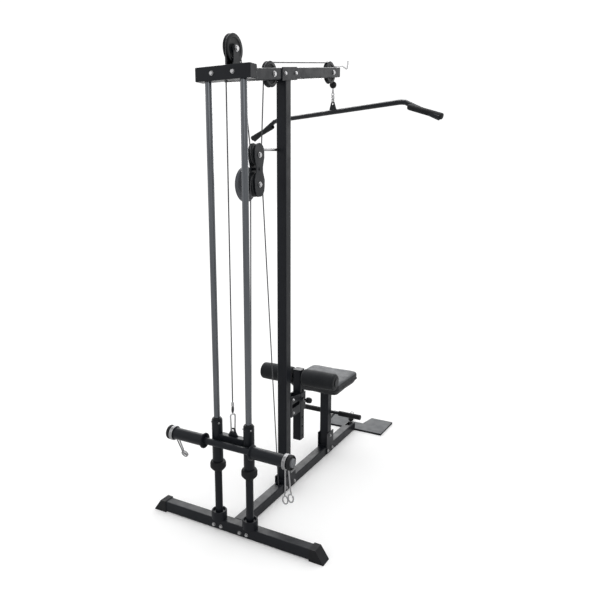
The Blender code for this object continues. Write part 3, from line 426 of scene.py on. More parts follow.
def soft(name, dark, light, rough, grain, depth, cells=0, sheen=0.0, specular=0.14):
    """Rubber, foam, vinyl or nylon: a fine grain, with leather pebbles where it has cells."""
    shader = Shader(name, dark, 0.0, rough, specular=specular)
    shader.out.inputs["Sheen Weight"].default_value = sheen
    shader.mix(shader.ramp(shader.noise(9, 5, 0.6), 0, 1), dark, light)
    shader.rough(shader.ramp(shader.noise(30, 3), rough - 0.06, rough + 0.06))
    if cells:
        shader.bump(shader.cells(cells), depth * 1.4, 0.6)
    shader.bump(shader.noise(grain, 3), depth, 0.6)
    return shader.material


BLACK = (0.0042, 0.0050, 0.0068)
POWDER = powder("powder_black", BLACK, (0.0068, 0.0078, 0.0098))
POWDER_WORN = powder("powder_satin", (0.014, 0.015, 0.017), (0.020, 0.0215, 0.024), 0.38, 0.1)
CHROME = metal("chrome_rod", (0.078, 0.083, 0.090), (0.096, 0.101, 0.109), 0.20, (1, 1, 0.12))
CLIP_STEEL = metal("clip_steel", (0.20, 0.20, 0.205), (0.27, 0.27, 0.275), 0.26)
ZINC = metal("zinc_plate", (0.27, 0.27, 0.275), (0.38, 0.38, 0.385), 0.30)
CABLE = twisted_steel()
RUBBER = soft("rubber_black", (0.0040, 0.0043, 0.0050), (0.0070, 0.0074, 0.0084), 0.62, 420, 0.0003)
FOAM = soft("foam_black", (0.0055, 0.0062, 0.0074), (0.0085, 0.0094, 0.0108), 0.85, 260, 0.0006, 420, 0.08)
# One seat vinyl in a lit and a shaded copy: the grey one is a painted lit top, the black one is painted shade on
# the sides.
VINYL_PAINTED_LIT = soft("vinyl_grey_painted_lit", (0.036, 0.038, 0.041), (0.048, 0.050, 0.054), 0.55, 500, 0.0003, 620, 0, 0.12)
VINYL_PAINTED_SHADE = soft("vinyl_black_painted_shade", (0.0085, 0.0092, 0.0105), (0.0125, 0.0134, 0.0150), 0.52, 500, 0.0003, 620)
THREAD = soft("stitching", (0.02, 0.02, 0.021), (0.035, 0.035, 0.036), 0.7, 900, 0.0002)
NYLON = soft("nylon_black", (0.0034, 0.0040, 0.0050), (0.0058, 0.0066, 0.0078), 0.42, 200, 0.0001)
NYLON_GREY = soft("nylon_grey", (0.045, 0.048, 0.054), (0.065, 0.068, 0.075), 0.4, 200, 0.0001)
PLUG_GREY = soft("nylon_plug", (0.085, 0.088, 0.094), (0.110, 0.114, 0.120), 0.4, 200, 0.0001)
# The foot plate: black powder whose top faces are painted lighter, a painted lit top.
PLATE_PAINTED_LIT_TOP = lit_top_powder("powder_plate_painted_lit_top", BLACK, (0.032, 0.034, 0.037), (0.046, 0.049, 0.052))

BY_SLOT = {
    "powder_coat": POWDER,
    "zinc_steel": ZINC,
    "chrome": CHROME,
    "steel_cable": CABLE,
    "rubber": RUBBER,
    "foam": FOAM,
    "vinyl": VINYL_PAINTED_LIT,
    "nylon": NYLON,
}
CHAMFERED = (
    "mast", "boom", "boom_saddle", "base_beam", "rear_crossmember", "seat_post", "holddown_bracket",
    "holddown_post", "foot_plate", "pulley_block", "rear_pulley_bracket", "foot_cap_left", "foot_cap_right",
    "eye_plate", "boom_end_cap",
)  # fmt: skip


def dress_nodes():
    """Procedural finishes on the CAD nodes, and a fine chamfer on the sheet-metal ones."""
    slots = {s["node"]: s["material_slot"] for s in frame["record"]["subparts"]}
    for node, obj in NODES.items():
        obj.data.materials.clear()
        obj.data.materials.append(BY_SLOT[slots[node]])
        obj.data.shade_smooth()
        obj.data.set_sharp_from_angle(angle=radians(32))
        if node in CHAMFERED:
            mod = obj.modifiers.new("edge", "BEVEL")
            mod.width = 0.0008
            mod.segments = 2
            mod.limit_method = "ANGLE"
            mod.angle_limit = radians(50)
            mod.harden_normals = True


# ---------------------------------------------------------------- turned pieces
def pulley(node, name, body):
    """A nylon cable wheel: rounded groove, dished web and a steel bearing."""
    at, radius = centre(node), size(node).z / 2
    half, web, groove = 0.010, 0.0072, 0.0095
    seat = radius - groove
    outer = [
        (0.009, 0.0095), (0.0135, 0.0095), (0.015, web), (seat - 0.010, web), (seat - 0.006, half - 0.001),
        (seat - 0.005, half), (radius - 0.0015, half), (radius - 0.0004, half - 0.0008),
        (radius, half - 0.002), (radius - 0.003, 0.0058), (seat + 0.0022, 0.0032), (seat + 0.0006, 0.0018),
        (seat, 0),
    ]  # fmt: skip
    own(lathe(name, mirrored(outer), (1, 0, 0), at, NYLON, 72), body, "nylon", node)
    bearing = mirrored([(0.0057, 0.0112), (0.0085, 0.0112), (0.0090, 0.0106)])
    own(lathe(name + "_bearing", bearing, (1, 0, 0), at, ZINC, 40), body, "zinc_steel")


def turned_pieces():
    """Wheels, rollers and everything round on the carriage and its rods."""
    for node, body in (
        ("front_pulley", "front_wheel"), ("mid_pulley", "mid_wheel"), ("rear_pulley", "rear_wheel"),
        ("upper_sheave", "upper_wheel"), ("lower_sheave", "lower_wheel"),
    ):  # fmt: skip
        pulley(node, node + "_turned", body)

    at, radius = centre("guide_wheel"), size("guide_wheel").z / 2
    web, rim = 0.0035, 0.0076
    side = [
        (0.0056, 0.008), (0.0155, 0.008), (0.017, 0.0045), (0.030, web), (0.050, web),
        (radius - 0.014, web), (radius - 0.012, 0.0068), (radius - 0.0095, rim), (radius - 0.002, rim),
        (radius - 0.0005, 0.006), (radius - 0.0005, 0.0045), (radius - 0.002, 0.0028),
        (radius - 0.002, 0.001),
    ]  # fmt: skip
    wheel = lathe("guide_wheel_turned", mirrored(side), (1, 0, 0), at, NYLON_GREY, 96)
    own(wheel, "outer_wheel", "nylon", "guide_wheel")
    hub = mirrored([(0.0056, 0.0081), (0.0125, 0.0081)])
    own(lathe("guide_wheel_bearing", hub, (1, 0, 0), at, ZINC, 40), "outer_wheel", "zinc_steel")

    for side_name, body in (("left", "roller_left"), ("right", "roller_right")):
        foam_roller(f"thigh_roller_{side_name}", body)

    for name in ("left", "right"):
        bumper(name)
        load_sleeve(name)
        spring_clip(name)
        stop_tube(name)
        rod = NODES[f"guide_rod_{name}"]
        at = centre(rod.name)
        low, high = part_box(rod.name)
        radius = (high.x - low.x) / 2
        profile = [(0, low.z), (radius, low.z), (radius, high.z), (0, high.z)]
        made = lathe(rod.name + "_turned", profile, (0, 0, 1), (at.x, at.y, 0), CHROME, 48, closed=False)
        own(made, "frame", "chrome", rod.name)


def foam_roller(node, body):
    """Foam sleeve: slightly barrelled, with soft shoulders and a dished end round the bar."""
    at = centre(node)
    half, radius = size(node).x / 2, size(node).z / 2
    shoulder, swell, count = 0.010, 0.0013, 18
    body_radius = radius - 0.0015
    side = [(0.0127, 0.006 - half), (0.0135, 0.003 - half), (0.018, 0.0006 - half), (radius - 0.016, -half)]
    for i in range(7):
        angle = pi / 2 * i / 6
        side.append((body_radius - shoulder * (1 - sin(angle)), -half + 0.0105 - shoulder * cos(angle)))
    crown = []
    for i in range(count + 1):
        u = -1 + 2 * i / count
        crown.append((body_radius + swell * (1 - u * u), u * (half - 0.012)))
    profile = side + crown + [(r, -x) for r, x in reversed(side)]
    roller = lathe(node + "_foam", profile, (1, 0, 0), at, FOAM, 72)
    own(roller, body, "foam", node)


def bumper(name):
    """Tapered rubber bumper under a carriage sleeve, and the nylon bush at the sleeve's top."""
    node = f"bumper_{name}"
    at = centre(node)
    low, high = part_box(node)
    radius = (high.x - low.x) / 2
    profile = [
        (ROD_BORE, low.z), (0.0178, low.z), (0.0192, low.z + 0.001), (0.0295, low.z + 0.0125),
        (0.0338, low.z + 0.0175), (radius, low.z + 0.0215), (radius, high.z - 0.0095),
        (radius - 0.001, high.z - 0.007), (radius - 0.0035, high.z - 0.0006), (radius - 0.0045, high.z),
        (0.0246, high.z), (ROD_BORE, high.z - 0.014),
    ]  # fmt: skip
    made = lathe(node + "_turned", profile, (0, 0, 1), (at.x, at.y, 0), RUBBER, 64)
    own(made, "carriage", "rubber", node)
    bush = f"guide_bush_{name}"
    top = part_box(bush)[1].z
    profile = [
        (ROD_BORE, top - 0.03), (0.0179, top - 0.03), (0.0179, top - 0.0069), (0.0211, top - 0.0069),
        (0.0211, top - 0.004), (0.0203, top - 0.0018), (0.0182, top), (0.0155, top), (ROD_BORE, top - 0.0015),
    ]  # fmt: skip
    made = lathe(bush + "_turned", profile, (0, 0, 1), (at.x, at.y, 0), NYLON, 56)
    own(made, "carriage", "nylon", bush)


def stop_tube(name):
    """Socket cup on the crossmember and the tube the carriage rests on."""
    node = f"stop_tube_{name}"
    at = centre(node)
    low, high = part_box(node)
    cup = low.z + 0.0407
    profile = [
        (ROD_BORE, low.z), (0.035, low.z), (0.035, cup - 0.003), (0.0335, cup - 0.0008), (0.032, cup),
        (0.0295, cup), (0.0285, cup - 0.001), (0.0275, cup - 0.010), (0.0169, cup - 0.010),
        (0.0168, high.z - 0.0010), (0.0160, high.z), (ROD_BORE, high.z),
    ]  # fmt: skip
    made = lathe(node + "_turned", profile, (0, 0, 1), (at.x, at.y, 0), POWDER, 64)
    own(made, "frame", "powder_coat", node)


def load_sleeve(name):
    """Plate sleeve: inner flange, tube, and a plastic end with a grey plug in it."""
    node = f"load_sleeve_{name}"
    low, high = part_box(node)
    side = 1 if name == "left" else -1
    inner, outer = (low.x, high.x) if side > 0 else (high.x, low.x)
    at = centre(node)
    start = (inner, at.y, at.z)
    length = abs(outer - inner)
    radius, bore, flange = LOAD_SLEEVE_RADIUS, LOAD_SLEEVE_BORE, 0.034
    profile = [
        (bore, 0), (0.0325, 0), (flange, 0.0012), (flange, 0.0058), (0.0325, 0.007), (radius + 0.0008, 0.007),
        (radius, 0.0078), (radius, length - 0.0125), (bore, length - 0.0125),
    ]  # fmt: skip
    made = lathe(node + "_turned", profile, (side, 0, 0), start, POWDER, 64)
    own(made, "carriage", "powder_coat", node)
    rim, plug_radius = length - 0.012, 0.0194
    plug = [
        (plug_radius, rim + 0.001), (plug_radius, length - 0.002), (0.0180, length), (0.0150, length),
        (0.0140, length - 0.0015), (0.0080, length - 0.0015), (0.0070, length - 0.0005), (0, length - 0.0005),
        (0, rim + 0.001),
    ]  # fmt: skip
    made = lathe(f"sleeve_plug_{name}", plug, (side, 0, 0), start, PLUG_GREY, 48, closed=False)
    own(made, "carriage", "nylon")
    cap = [
        (0, rim - 0.004), (radius - 0.0005, rim - 0.004), (radius - 0.0005, rim - 0.0005),
        (radius - 0.0004, rim), (radius - 0.0015, rim + 0.0012), (0.0198, rim + 0.0012),
        (0.0195, rim + 0.002), (0, rim + 0.002),
    ]  # fmt: skip
    made = lathe(f"sleeve_end_{name}", cap, (side, 0, 0), start, NYLON, 64, closed=False)
    own(made, "carriage", "nylon")


def spring_clip(name):
    """Wire collar: a sprung coil whose two ends drop into looped handles."""
    node = f"spring_clip_{name}"
    sleeve = centre(f"load_sleeve_{name}")
    side = 1 if name == "left" else -1
    at = Vector((side * CLIP_X, sleeve.y, sleeve.z))
    swing, reaches = CLIP_HANDLES[name]
    radius, pitch, turns, per_turn = 0.0305, 0.0066, 3, 26
    steps = per_turn * turns
    width = pitch * (turns - 0.6)
    points = []
    for i in range(steps + 1):
        angle = 2 * pi * i / per_turn
        points.append(Vector(((0.5 - i / steps) * width, radius * sin(angle), -radius * cos(angle))))

    def handle(start_x, reach, length):
        """One handle, from the bottom of the coil down to its loop."""
        loop_width, loop_height, loop_steps = 0.0122, 0.0175, 18
        foot = Vector((reach, 0, -radius - length))
        top = Vector((start_x, 0, -radius - 0.001))
        path = [top, *(top.lerp(foot + Vector((0, 0, 0.040)), t) for t in (0.15, 0.5, 0.85))]
        way = 1 if reach > start_x else -1
        for i in range(loop_steps + 1):
            angle = radians(105 - 335 * i / loop_steps)
            u, v = -way * loop_width * cos(angle), loop_height * (1 + sin(angle))
            path.append(foot + Vector((u, 0, v)))
        return smooth_curve(path, 3)

    bend = Matrix.Rotation(-swing, 3, "X")
    first = handle(points[0].x, reaches[0], 0.160)
    last = handle(points[-1].x, reaches[1], 0.146)
    route = [*reversed(first), *points[1:-1], *last]
    made = wire(node + "_wire", [bend @ p + at for p in route], 0.0031, CLIP_STEEL, 12)
    own(made, f"clip_{name}", "chrome", node)
    ring = [(0.0268, 0), (0.030, 0), (0.0322, 0.002), (0.0322, 0.012), (0.030, 0.015), (0.0268, 0.015)]
    beside = at + Vector((side * 0.0112, 0, 0))
    stop = lathe(f"collar_ring_{name}", ring, (side, 0, 0), beside, RUBBER, 56)
    own(stop, f"clip_{name}", "rubber")


# ---------------------------------------------------------------- cables
def cables():
    """Copies of the cable legs that change length stand in for their CAD nodes; the run over the boom stays."""
    for node, body, near, far in (
        ("block_cable_upper", "block", (0, 0, 1.98), (0, 0, 1.76)),
        ("block_cable_lower", "block", (0, 0, 0.20), (0, 0, 1.40)),
        ("carriage_cable", "carriage", (0, 0, 1.95), (0, 0, 0.70)),
    ):
        piece = copy_of(node, node + "_leg", CABLE)
        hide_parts(node)
        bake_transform(piece)
    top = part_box("carriage_carabiner")[1].z
    line_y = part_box("carriage_cable")[1].y - CABLE_RADIUS
    loop = ellipse((0, line_y, top + 0.017), (0, 0, -0.0165), (0, 0.0065, 0))
    own(wire("cable_thimble", loop, 0.0024, CABLE, 8, closed=True), "carriage", "steel_cable")
    crimp = [(0, 0), (0.0058, 0), (0.0062, 0.0008), (0.0062, 0.0172), (0.0058, 0.018), (0, 0.018)]
    made = lathe("cable_crimp", crimp, (0, 0, 1), (0, line_y, top + 0.032), ZINC, 24, closed=False)
    own(made, "carriage", "zinc_steel")

    at = centre("lat_stop_ball")
    top = centre("front_pulley").z
    piece = tube_piece("lat_cable", (at.x, at.y, top), (at.x, at.y, top - 0.036), CABLE_RADIUS)
    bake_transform(piece)
    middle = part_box("lat_stop_ball")[0].z + 0.034
    stop_ball("lat_stop", (at.x, at.y, middle), (0, 0, 1), 0.018, "lat_end", "lat_stop_ball")

    axis = Vector(next(j for j in frame["joints"] if j["name"] == "row_pull")["axis"]).normalized()
    groove_radius = 0.0197
    exit_at = centre("low_front_pulley") + groove_radius * Vector((0, -axis.z, axis.y))
    ball = exit_at + axis * 0.058
    piece = tube_piece("row_cable", exit_at, exit_at + axis * 0.046, CABLE_RADIUS)
    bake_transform(piece)
    stop_ball("row_stop", ball, -axis, 0.016, "low_end", "low_stop_ball")
    ring = ellipse(ball + axis * 0.036, 0.0095 * axis, (0.0095, 0, 0))
    own(wire("row_ring", ring, 0.0026, ZINC, 10, closed=True), "low_end", "zinc_steel")


def tube_piece(name, start, end, radius):
    """A straight length of cable."""
    start, end = Vector(start), Vector(end)
    length = (end - start).length
    profile = [(0, 0), (radius, 0), (radius, length), (0, length)]
    return lathe(name, profile, end - start, start, CABLE, 14, closed=False)


def stop_ball(name, at, cable_way, radius, body, node):
    """Rubber ball clamped on the cable, with a crimped steel ferrule beyond it."""
    profile = []
    for i in range(25):
        angle = pi * i / 24
        profile.append((radius * sin(angle) if 0 < i < 24 else 0, radius * cos(angle)))
    ball = lathe(name + "_rubber", profile, cable_way, at, RUBBER, 48, closed=False)
    own(ball, body, "rubber", node)
    bottom, top = -0.0335, -0.0150
    ferrule = [(0, bottom), (0.0040, bottom), (0.0046, bottom + 0.001), (0.0046, top), (0, top)]
    own(lathe(name + "_ferrule", ferrule, cable_way, at, ZINC, 28, closed=False), body, "zinc_steel")


# ---------------------------------------------------------------- lat bar
def lat_pieces():
    """The chain's links, the ring above them and the bar's grips."""
    low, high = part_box("lat_chain")
    at = centre("lat_chain")
    radius, half_width, count = 0.0031, 0.0075, 3
    top, bottom = high.z - radius, low.z + radius
    overlap = 2 * radius + 0.0006
    pitch = (top - bottom + (count - 1) * overlap) / count
    bm = bmesh.new()
    for i in range(count):
        link_top = top - i * (pitch - overlap)
        turn = radians(90 * (count - i)) + LAT_SWIVEL
        loop = oval_loop(at, half_width, link_top, link_top - pitch, turn, 10)
        add_wire(bm, loop, radius, 10, closed=True)
    own(from_bmesh("lat_chain_links", bm, ZINC, 60), "lat_hanger", "zinc_steel", "lat_chain")
    ring = ellipse((at.x, at.y, high.z + 0.0040), (0, 0, -0.0078), (0, 0.0078, 0), 18)
    own(wire("lat_ring", ring, 0.0028, ZINC, 10, closed=True), "lat_end", "zinc_steel")

    for name in ("left", "right"):
        lat_grip(name)


def lat_grip(name):
    """Rubber grip: a thin sleeve, feathered at its mouth, with a rounded tip."""
    node = f"lat_grip_{name}"
    points = [v.co.copy() for v in NODES[node].data.vertices]
    side = 1 if name == "left" else -1
    outward = sorted(points, key=lambda p: side * p.x)
    mouth_ring, tip_ring = outward[:40], outward[-20:]
    mouth = sum(mouth_ring, Vector()) / len(mouth_ring)
    tip = sum(tip_ring, Vector()) / len(tip_ring)
    along = (tip - mouth).normalized()
    first = min((p - mouth).dot(along) for p in points)
    last = max((p - mouth).dot(along) for p in points)
    start = mouth + along * first
    length = last - first
    bore = 0.0126
    profile = [(bore, 0), (0.0132, 0), (0.0138, 0.002), (0.0145, 0.012)]
    profile += [(0.0147, length - 0.006), (0.0139, length - 0.002), (0.010, length), (0, length)]
    profile += [(0, length - 0.004), (bore, length - 0.006)]
    own(lathe(node + "_rubber", profile, along, start, RUBBER, 40), "lat_handle", "rubber", node)


# ---------------------------------------------------------------- seat
SEAT_INSET, SEAT_SWELL = 0.0045, 0.004  # the pad starts this far inside its solid and may swell this far
WELT_HEIGHT, WELT_CORNER = 0.027, 0.036


def seat():
    """Padded seat: swollen by a cloth simulation, with a sewn welt round the side."""
    low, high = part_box("seat_pad")
    bm = bmesh.new()
    y0, y1 = low.y + SEAT_INSET, high.y - SEAT_INSET
    z0, z1 = low.z + 0.0005, high.z - SEAT_INSET
    outline = rounded_outline(high.x - SEAT_INSET, y0, y1, 0.028, 8)
    middle = (y0 + y1) / 2
    rings = []
    for z, taper in ((z0, 0.100), (z0 + 0.026, 0.0), (z1, 0.0)):
        spots = [(px * (1 - taper), middle + (py - middle) * (1 - taper), z) for px, py in outline]
        rings.append([bm.verts.new(spot) for spot in spots])
    for lower, upper in zip(rings, rings[1:]):
        for i in range(len(outline)):
            j = (i + 1) % len(outline)
            bm.faces.new((lower[i], lower[j], upper[j], upper[i]))
    bm.faces.new(rings[0][::-1])
    bm.faces.new(rings[-1])
    pad = from_bmesh("seat_cushion", bm, VINYL_PAINTED_SHADE, 60)
    remesh = pad.modifiers.new("remesh", "REMESH")
    remesh.mode = "VOXEL"
    remesh.voxel_size = 0.0055
    bake(pad)
    inflate(pad, SEAT_SWELL)
    relax = pad.modifiers.new("relax", "SMOOTH")
    relax.iterations = 8
    relax.factor = 0.5
    bake(pad)
    keep_inside(pad, low, high)
    divide = pad.modifiers.new("divide", "SUBSURF")
    divide.levels = divide.render_levels = 1
    bake(pad)
    keep_inside(pad, low, high)
    pad.data.materials.append(VINYL_PAINTED_LIT)
    # Faces that look up take the painted lit copy of the vinyl, the sides take the painted shaded copy.
    for face in pad.data.polygons:
        face.material_index = 1 if face.normal.z > 0.55 else 0
    pad.data.shade_smooth()
    own(pad, "frame", "vinyl", "seat_pad")
    welt(low, high)


def bake(obj):
    """Replaces an object's mesh by its evaluated one."""
    bpy.context.view_layer.update()
    made = bpy.data.meshes.new_from_object(obj.evaluated_get(bpy.context.evaluated_depsgraph_get()))
    obj.modifiers.clear()
    obj.data = made


def inflate(obj, cap):
    """Swells a closed mesh by cloth under pressure, each point by no more than the cap."""
    scene = bpy.context.scene
    frames = 20
    rest = [v.co.copy() for v in obj.data.vertices]
    cloth = obj.modifiers.new("cloth", "CLOTH")
    cloth.settings.use_pressure = True
    cloth.settings.uniform_pressure_force = 4
    cloth.settings.quality = 6
    cloth.settings.tension_stiffness = 20
    cloth.settings.bending_stiffness = 4
    cloth.settings.effector_weights.gravity = 0
    cloth.point_cache.frame_start, cloth.point_cache.frame_end = 1, frames
    for step in range(1, frames + 1):
        scene.frame_set(step)
    bake(obj)
    scene.frame_set(1)
    for vert, start in zip(obj.data.vertices, rest):
        move = vert.co - start
        if move.length > cap:
            vert.co = start + move * (cap / move.length)


def keep_inside(obj, low, high):
    """Flat where the pad rests on its plate, and no larger than its solid."""
    gap = 0.0005
    for vert in obj.data.vertices:
        vert.co.x = min(max(vert.co.x, low.x + gap), high.x - gap)
        vert.co.y = min(max(vert.co.y, low.y + gap), high.y - gap)
        vert.co.z = max(vert.co.z, low.z + 0.0004)


def welt(low, high):
    """Piping along the seam between the seat's top and its side."""
    x, y0, y1 = high.x - SEAT_INSET, low.y + SEAT_INSET, high.y - SEAT_INSET
    points = [(px, py, low.z + WELT_HEIGHT) for px, py in rounded_outline(x, y0, y1, WELT_CORNER, 9)]
    own(wire("seat_welt", points, 0.0018, THREAD, 8, closed=True), "frame", "vinyl")


# ---------------------------------------------------------------- hardware
def hardware():
    """Bolts in the places where they are seen, then the small steel pieces and the welds."""
    face = centre("rear_crossmember").y + TUBE_HALF
    spots = [((x, face, 0.022), (0, 1, 0), False) for x in (0.103, 0.064, -0.037, -0.074)]
    bolts("bolts_crossmember", spots, ZINC, "frame")

    low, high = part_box("top_crossbeam")
    middle = (low.z + high.z) / 2
    spots = [((x, high.y, middle), (0, 1, 0), False) for x in (-0.049, 0.049)]
    bolts("bolts_crossbeam", spots, ZINC, "frame")

    rods_y = centre("guide_rod_left").y
    mast = rods_y - MAST_REACH
    both = (1, -1)
    spots = [((s * PLATE_FACE, mast + dy, 0.029), (s, 0, 0), s > 0) for s in both for dy in (-0.052, 0.032)]
    bolts("bolts_mast_foot", spots, ZINC, "frame")
    seat_y = rods_y - SEAT_REACH
    places = ((-0.030, 0.028), (0.026, 0.028), (0, 0.112))
    spots = [((s * PLATE_FACE, seat_y + dy, z), (s, 0, 0), s > 0) for s in both for dy, z in places]
    bolts("bolts_seat_foot", spots, ZINC, "frame")

    saddle_low, saddle_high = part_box("boom_saddle")
    front = centre("front_axle")
    spots = []
    for s in both:
        for y in (saddle_low.y + 0.011, saddle_high.y - 0.024):
            z = front.z + BOOM_SLOPE * (front.y - y)
            spots.append(((s * PLATE_FACE, y, z), (s, 0, 0), s > 0))
    bolts("bolts_boom_saddle", spots, ZINC, "frame")

    low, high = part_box("holddown_bracket")
    bracket_face, edge = 0.0265, 0.020
    heights = (low.z + edge, high.z - edge)
    spots = [((s * bracket_face, high.y - edge, z), (s, 0, 0), s > 0) for s in both for z in heights]
    bolts("bolts_holddown", spots, ZINC, "frame", **SMALL_BOLT)

    tab_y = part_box("foot_plate")[1].y - 0.0041
    spots = [((x, tab_y, 0.034), (0, -1, 0), False) for x in (-0.014, 0.014)]
    bolts("bolts_foot_plate", spots, POWDER_WORN, "frame", **SMALL_BOLT)

    spots = []
    for x in (CARRIAGE_TUBE_X, -CARRIAGE_TUBE_X):
        for turn in (35, 145):
            way = Vector((cos(radians(turn)), sin(radians(turn)), 0))
            middle = Vector((x, rods_y, SLEEVE_SCREW_Z))
            spots.append((middle + way * CARRIAGE_TUBE_RADIUS, way, False))
    bolts("sleeve_screws", spots, ZINC, "carriage", **SMALL_SCREW)

    bore, radius, length = 0.0061, 0.0066, 0.1480
    peg = [
        (bore, 0), (radius, 0.0005), (radius, length - 0.002), (0.0058, length - 0.0004), (0, length),
        (0, length - 0.001), (bore, length - 0.001),
    ]  # fmt: skip
    made = lathe("peg_sleeve", peg, (0, 1, -0.034), (0.018, mast + TUBE_HALF, 1.6969), ZINC, 32)
    own(made, "frame", "zinc_steel")
    washers()
    row_handle()
    pin()
    welds(mast, seat_y)


def washers():
    """Washers under the heads and nuts of the axle bolts."""
    block_half = 0.0175  # half the width over the plates of the pulley block and the rear bracket
    bore, radius, thick = 0.0052, 0.0122, 0.0018
    for node, body, half in (
        ("front_axle", "frame", TUBE_HALF), ("mid_axle", "frame", TUBE_HALF),
        ("rear_axle", "frame", block_half), ("upper_axle", "block", block_half),
        ("lower_axle", "block", block_half),
    ):  # fmt: skip
        at = centre(node)
        bm = bmesh.new()
        ring = [
            (bore, 0.0002), (radius - 0.0004, 0.0002), (radius, 0.0006), (radius, thick - 0.0004),
            (radius - 0.0004, thick), (bore, thick),
        ]  # fmt: skip
        for side in (1, -1):
            add_lathe(bm, ring, (side, 0, 0), (side * half, at.y, at.z), 36)
        own(from_bmesh(node + "_washers", bm, ZINC), body, "zinc_steel")


def row_handle():
    """Stowed low row bar: a coated rod with a steel ring, and two ribbed grips."""
    node = "low_row_bar"
    low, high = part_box(node)
    at = Vector((0, (low.y + high.y) / 2, high.z - 0.013))
    end, core = high.x, high.x - 0.002
    rod = [(0, -core), (ROW_ROD_RADIUS, -core), (ROW_ROD_RADIUS, core), (0, core)]
    made = lathe("row_bar_rod", rod, (1, 0, 0), at, POWDER_WORN, 32, closed=False)
    own(made, "row_handle", "powder_coat", node)
    for side, name in ((1, "left"), (-1, "right")):
        start, ribs, bore, outer = ROW_GRIP_START, 22, ROW_ROD_RADIUS + 0.0002, ROW_GRIP_RADIUS
        valley, ridge = outer - 0.0010, outer - 0.0002
        profile = [(bore, start), (outer - 0.0014, start), (outer, start + 0.0012), (outer, start + 0.004)]
        step = (end - start - 0.012) / ribs
        for i in range(ribs):
            base = start + 0.006 + step * i
            profile += [(valley, base), (ridge, base + step * 0.3)]
            profile += [(ridge, base + step * 0.6), (valley, base + step * 0.9)]
        profile += [(outer, end - 0.005), (outer, end - 0.002), (outer - 0.0018, end), (0, end)]
        profile += [(0, end - 0.003), (bore, end - 0.004)]
        made = lathe(f"row_grip_{name}", profile, (side, 0, 0), at, RUBBER, 36)
        own(made, "row_handle", "rubber")
    circle = ellipse((0, at.y, at.z - 0.0135), (0, 0, 0.009), (0, 0.009, 0))
    own(wire("row_bar_ring", circle, 0.0027, ZINC, 10, closed=True), "row_handle", "zinc_steel")


def pin():
    """Pull pin: a six-sided steel barrel on the hold-down's sleeve, and the pin with its round knob."""
    node = "pop_pin"
    low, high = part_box(node)
    at = centre(node)
    face = -0.028  # the outer side of that sleeve
    barrel = [(0.0057, 0), (0.0105, 0), (0.0105, 0.007), (0.0098, 0.0085), (0.0098, 0.010), (0.0057, 0.010)]
    made = lathe("pin_barrel", barrel, (-1, 0, 0), (face, at.y, at.z), ZINC, 6, smooth=20)
    own(made, "frame", "zinc_steel")
    length = high.x - low.x
    profile = [
        (0, 0), (0.0048, 0), (0.0048, 0.016), (0.0060, 0.0165), (0.0060, 0.0225), (0.0125, 0.0245),
        (0.0150, 0.029), (0.0155, 0.034), (0.0150, 0.043), (0.0125, length - 0.003), (0.008, length),
        (0, length),
    ]  # fmt: skip
    bm = bmesh.new()
    add_lathe(bm, profile, (-1, 0, 0), (high.x, at.y, at.z), 48, closed=False)
    own(from_bmesh("pin_knob", bm, NYLON), "pin", "nylon", node)


def welds(mast, seat_y):
    """Weld beads round the feet of the uprights and under the seat plate."""
    bm = bmesh.new()
    bead, corner, seat_plate_z = 0.0028, 0.005, 0.416
    for y, z in ((mast, BEAM_WELD_Z), (seat_y, BEAM_WELD_Z), (seat_y, seat_plate_z)):
        outline = rounded_outline(TUBE_HALF, y - TUBE_HALF, y + TUBE_HALF, corner, 3)
        path = [Vector((px, py, z)) for px, py in outline]
        dense = []
        for a, b in zip(path, path[1:] + path[:1]):
            steps = max(1, int((b - a).length / 0.004))
            dense += [a.lerp(b, i / steps) for i in range(steps)]
        add_wire(bm, dense, bead, 8, closed=True)
    own(from_bmesh("weld_beads", bm, POWDER, 60), "frame", "powder_coat")


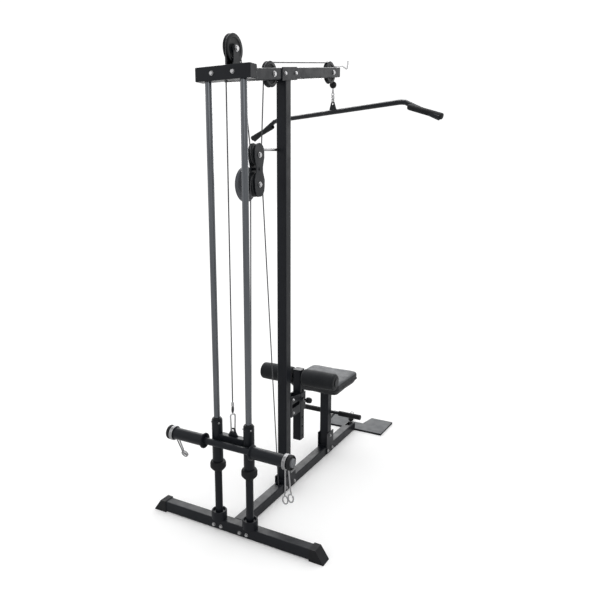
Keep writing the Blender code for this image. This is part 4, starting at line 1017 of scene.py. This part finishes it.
# ---------------------------------------------------------------- studio
def studio():
    """White floor and surround, soft lamps and the camera."""
    scene = bpy.context.scene
    white = (1, 1, 1, 1)
    bm = bmesh.new()
    bmesh.ops.create_grid(bm, x_segments=1, y_segments=1, size=30)
    floor_shader = Shader("studio_floor", (0.97, 0.97, 0.97), 0.0, 0.8, specular=0.0)
    floor_shader.mix(floor_shader.noise(3), (0.965, 0.965, 0.965), (0.975, 0.975, 0.975))
    floor_shader.out.inputs["Emission Color"].default_value = white
    floor_shader.out.inputs["Emission Strength"].default_value = 0.09
    floor = from_bmesh("studio_floor", bm, floor_shader.material)
    floor.location.z = -0.0008
    # The lamps skip the floor: the world and a faint glow of its own keep it an even white.
    unlit = bpy.data.collections.new("floor_unlit")
    unlit.objects.link(floor)
    unlit.collection_objects[0].light_linking.link_state = "EXCLUDE"

    world = bpy.data.worlds.new("studio")
    world.use_nodes = True
    sky = world.node_tree.nodes["Background"]
    sky.inputs["Color"].default_value = white
    sky.inputs["Strength"].default_value = 1.08
    scene.world = world
    scene.view_settings.view_transform = "Standard"

    for name, at, power, wide, aim in (
        ("key", (-3.4, 4.6, 4.2), 90, 4.5, (0, 0.2, 1.0)),
        ("fill", (3.6, 3.4, 3.0), 25, 4.0, (0, 0, 1.0)),
        ("top", (0.3, -0.8, 5.2), 200, 3.6, (0, 0, 0.6)),
        ("back", (1.9, -3.6, 3.2), 230, 3.8, (0, 0.2, 0.3)),
        ("front", (-2.6, -3.8, 2.8), 30, 2.6, (0, 0, 1.0)),
    ):
        light = bpy.data.lights.new(name, "AREA")
        light.energy = power
        light.size = wide
        lamp = bpy.data.objects.new(name, light)
        lamp.location = at
        lamp.visible_camera = False
        lamp.light_linking.receiver_collection = unlit
        lamp.rotation_euler = (Vector(aim) - Vector(at)).to_track_quat("-Z", "Y").to_euler()
        scene.collection.objects.link(lamp)

    camera = bpy.data.cameras.new("camera")
    camera.lens = 36.2
    camera.sensor_width = 36
    camera.shift_x = 0.0175
    camera.shift_y = 0.002
    camera.clip_start = 0.05
    viewer = bpy.data.objects.new("camera", camera)
    yaw, pitch = radians(29.21), radians(11.66)
    forward = Vector((sin(yaw) * cos(pitch), -cos(yaw) * cos(pitch), -sin(pitch)))
    rear = centre("rear_crossmember").y
    viewer.location = (-1.415, 2.033 + rear, 1.576)
    viewer.rotation_euler = forward.to_track_quat("-Z", "Y").to_euler()
    scene.collection.objects.link(viewer)
    scene.camera = viewer


studio()
dress_nodes()
NODES["foot_plate"].data.materials[0] = PLATE_PAINTED_LIT_TOP
turned_pieces()
cables()
lat_pieces()
seat()
hardware()
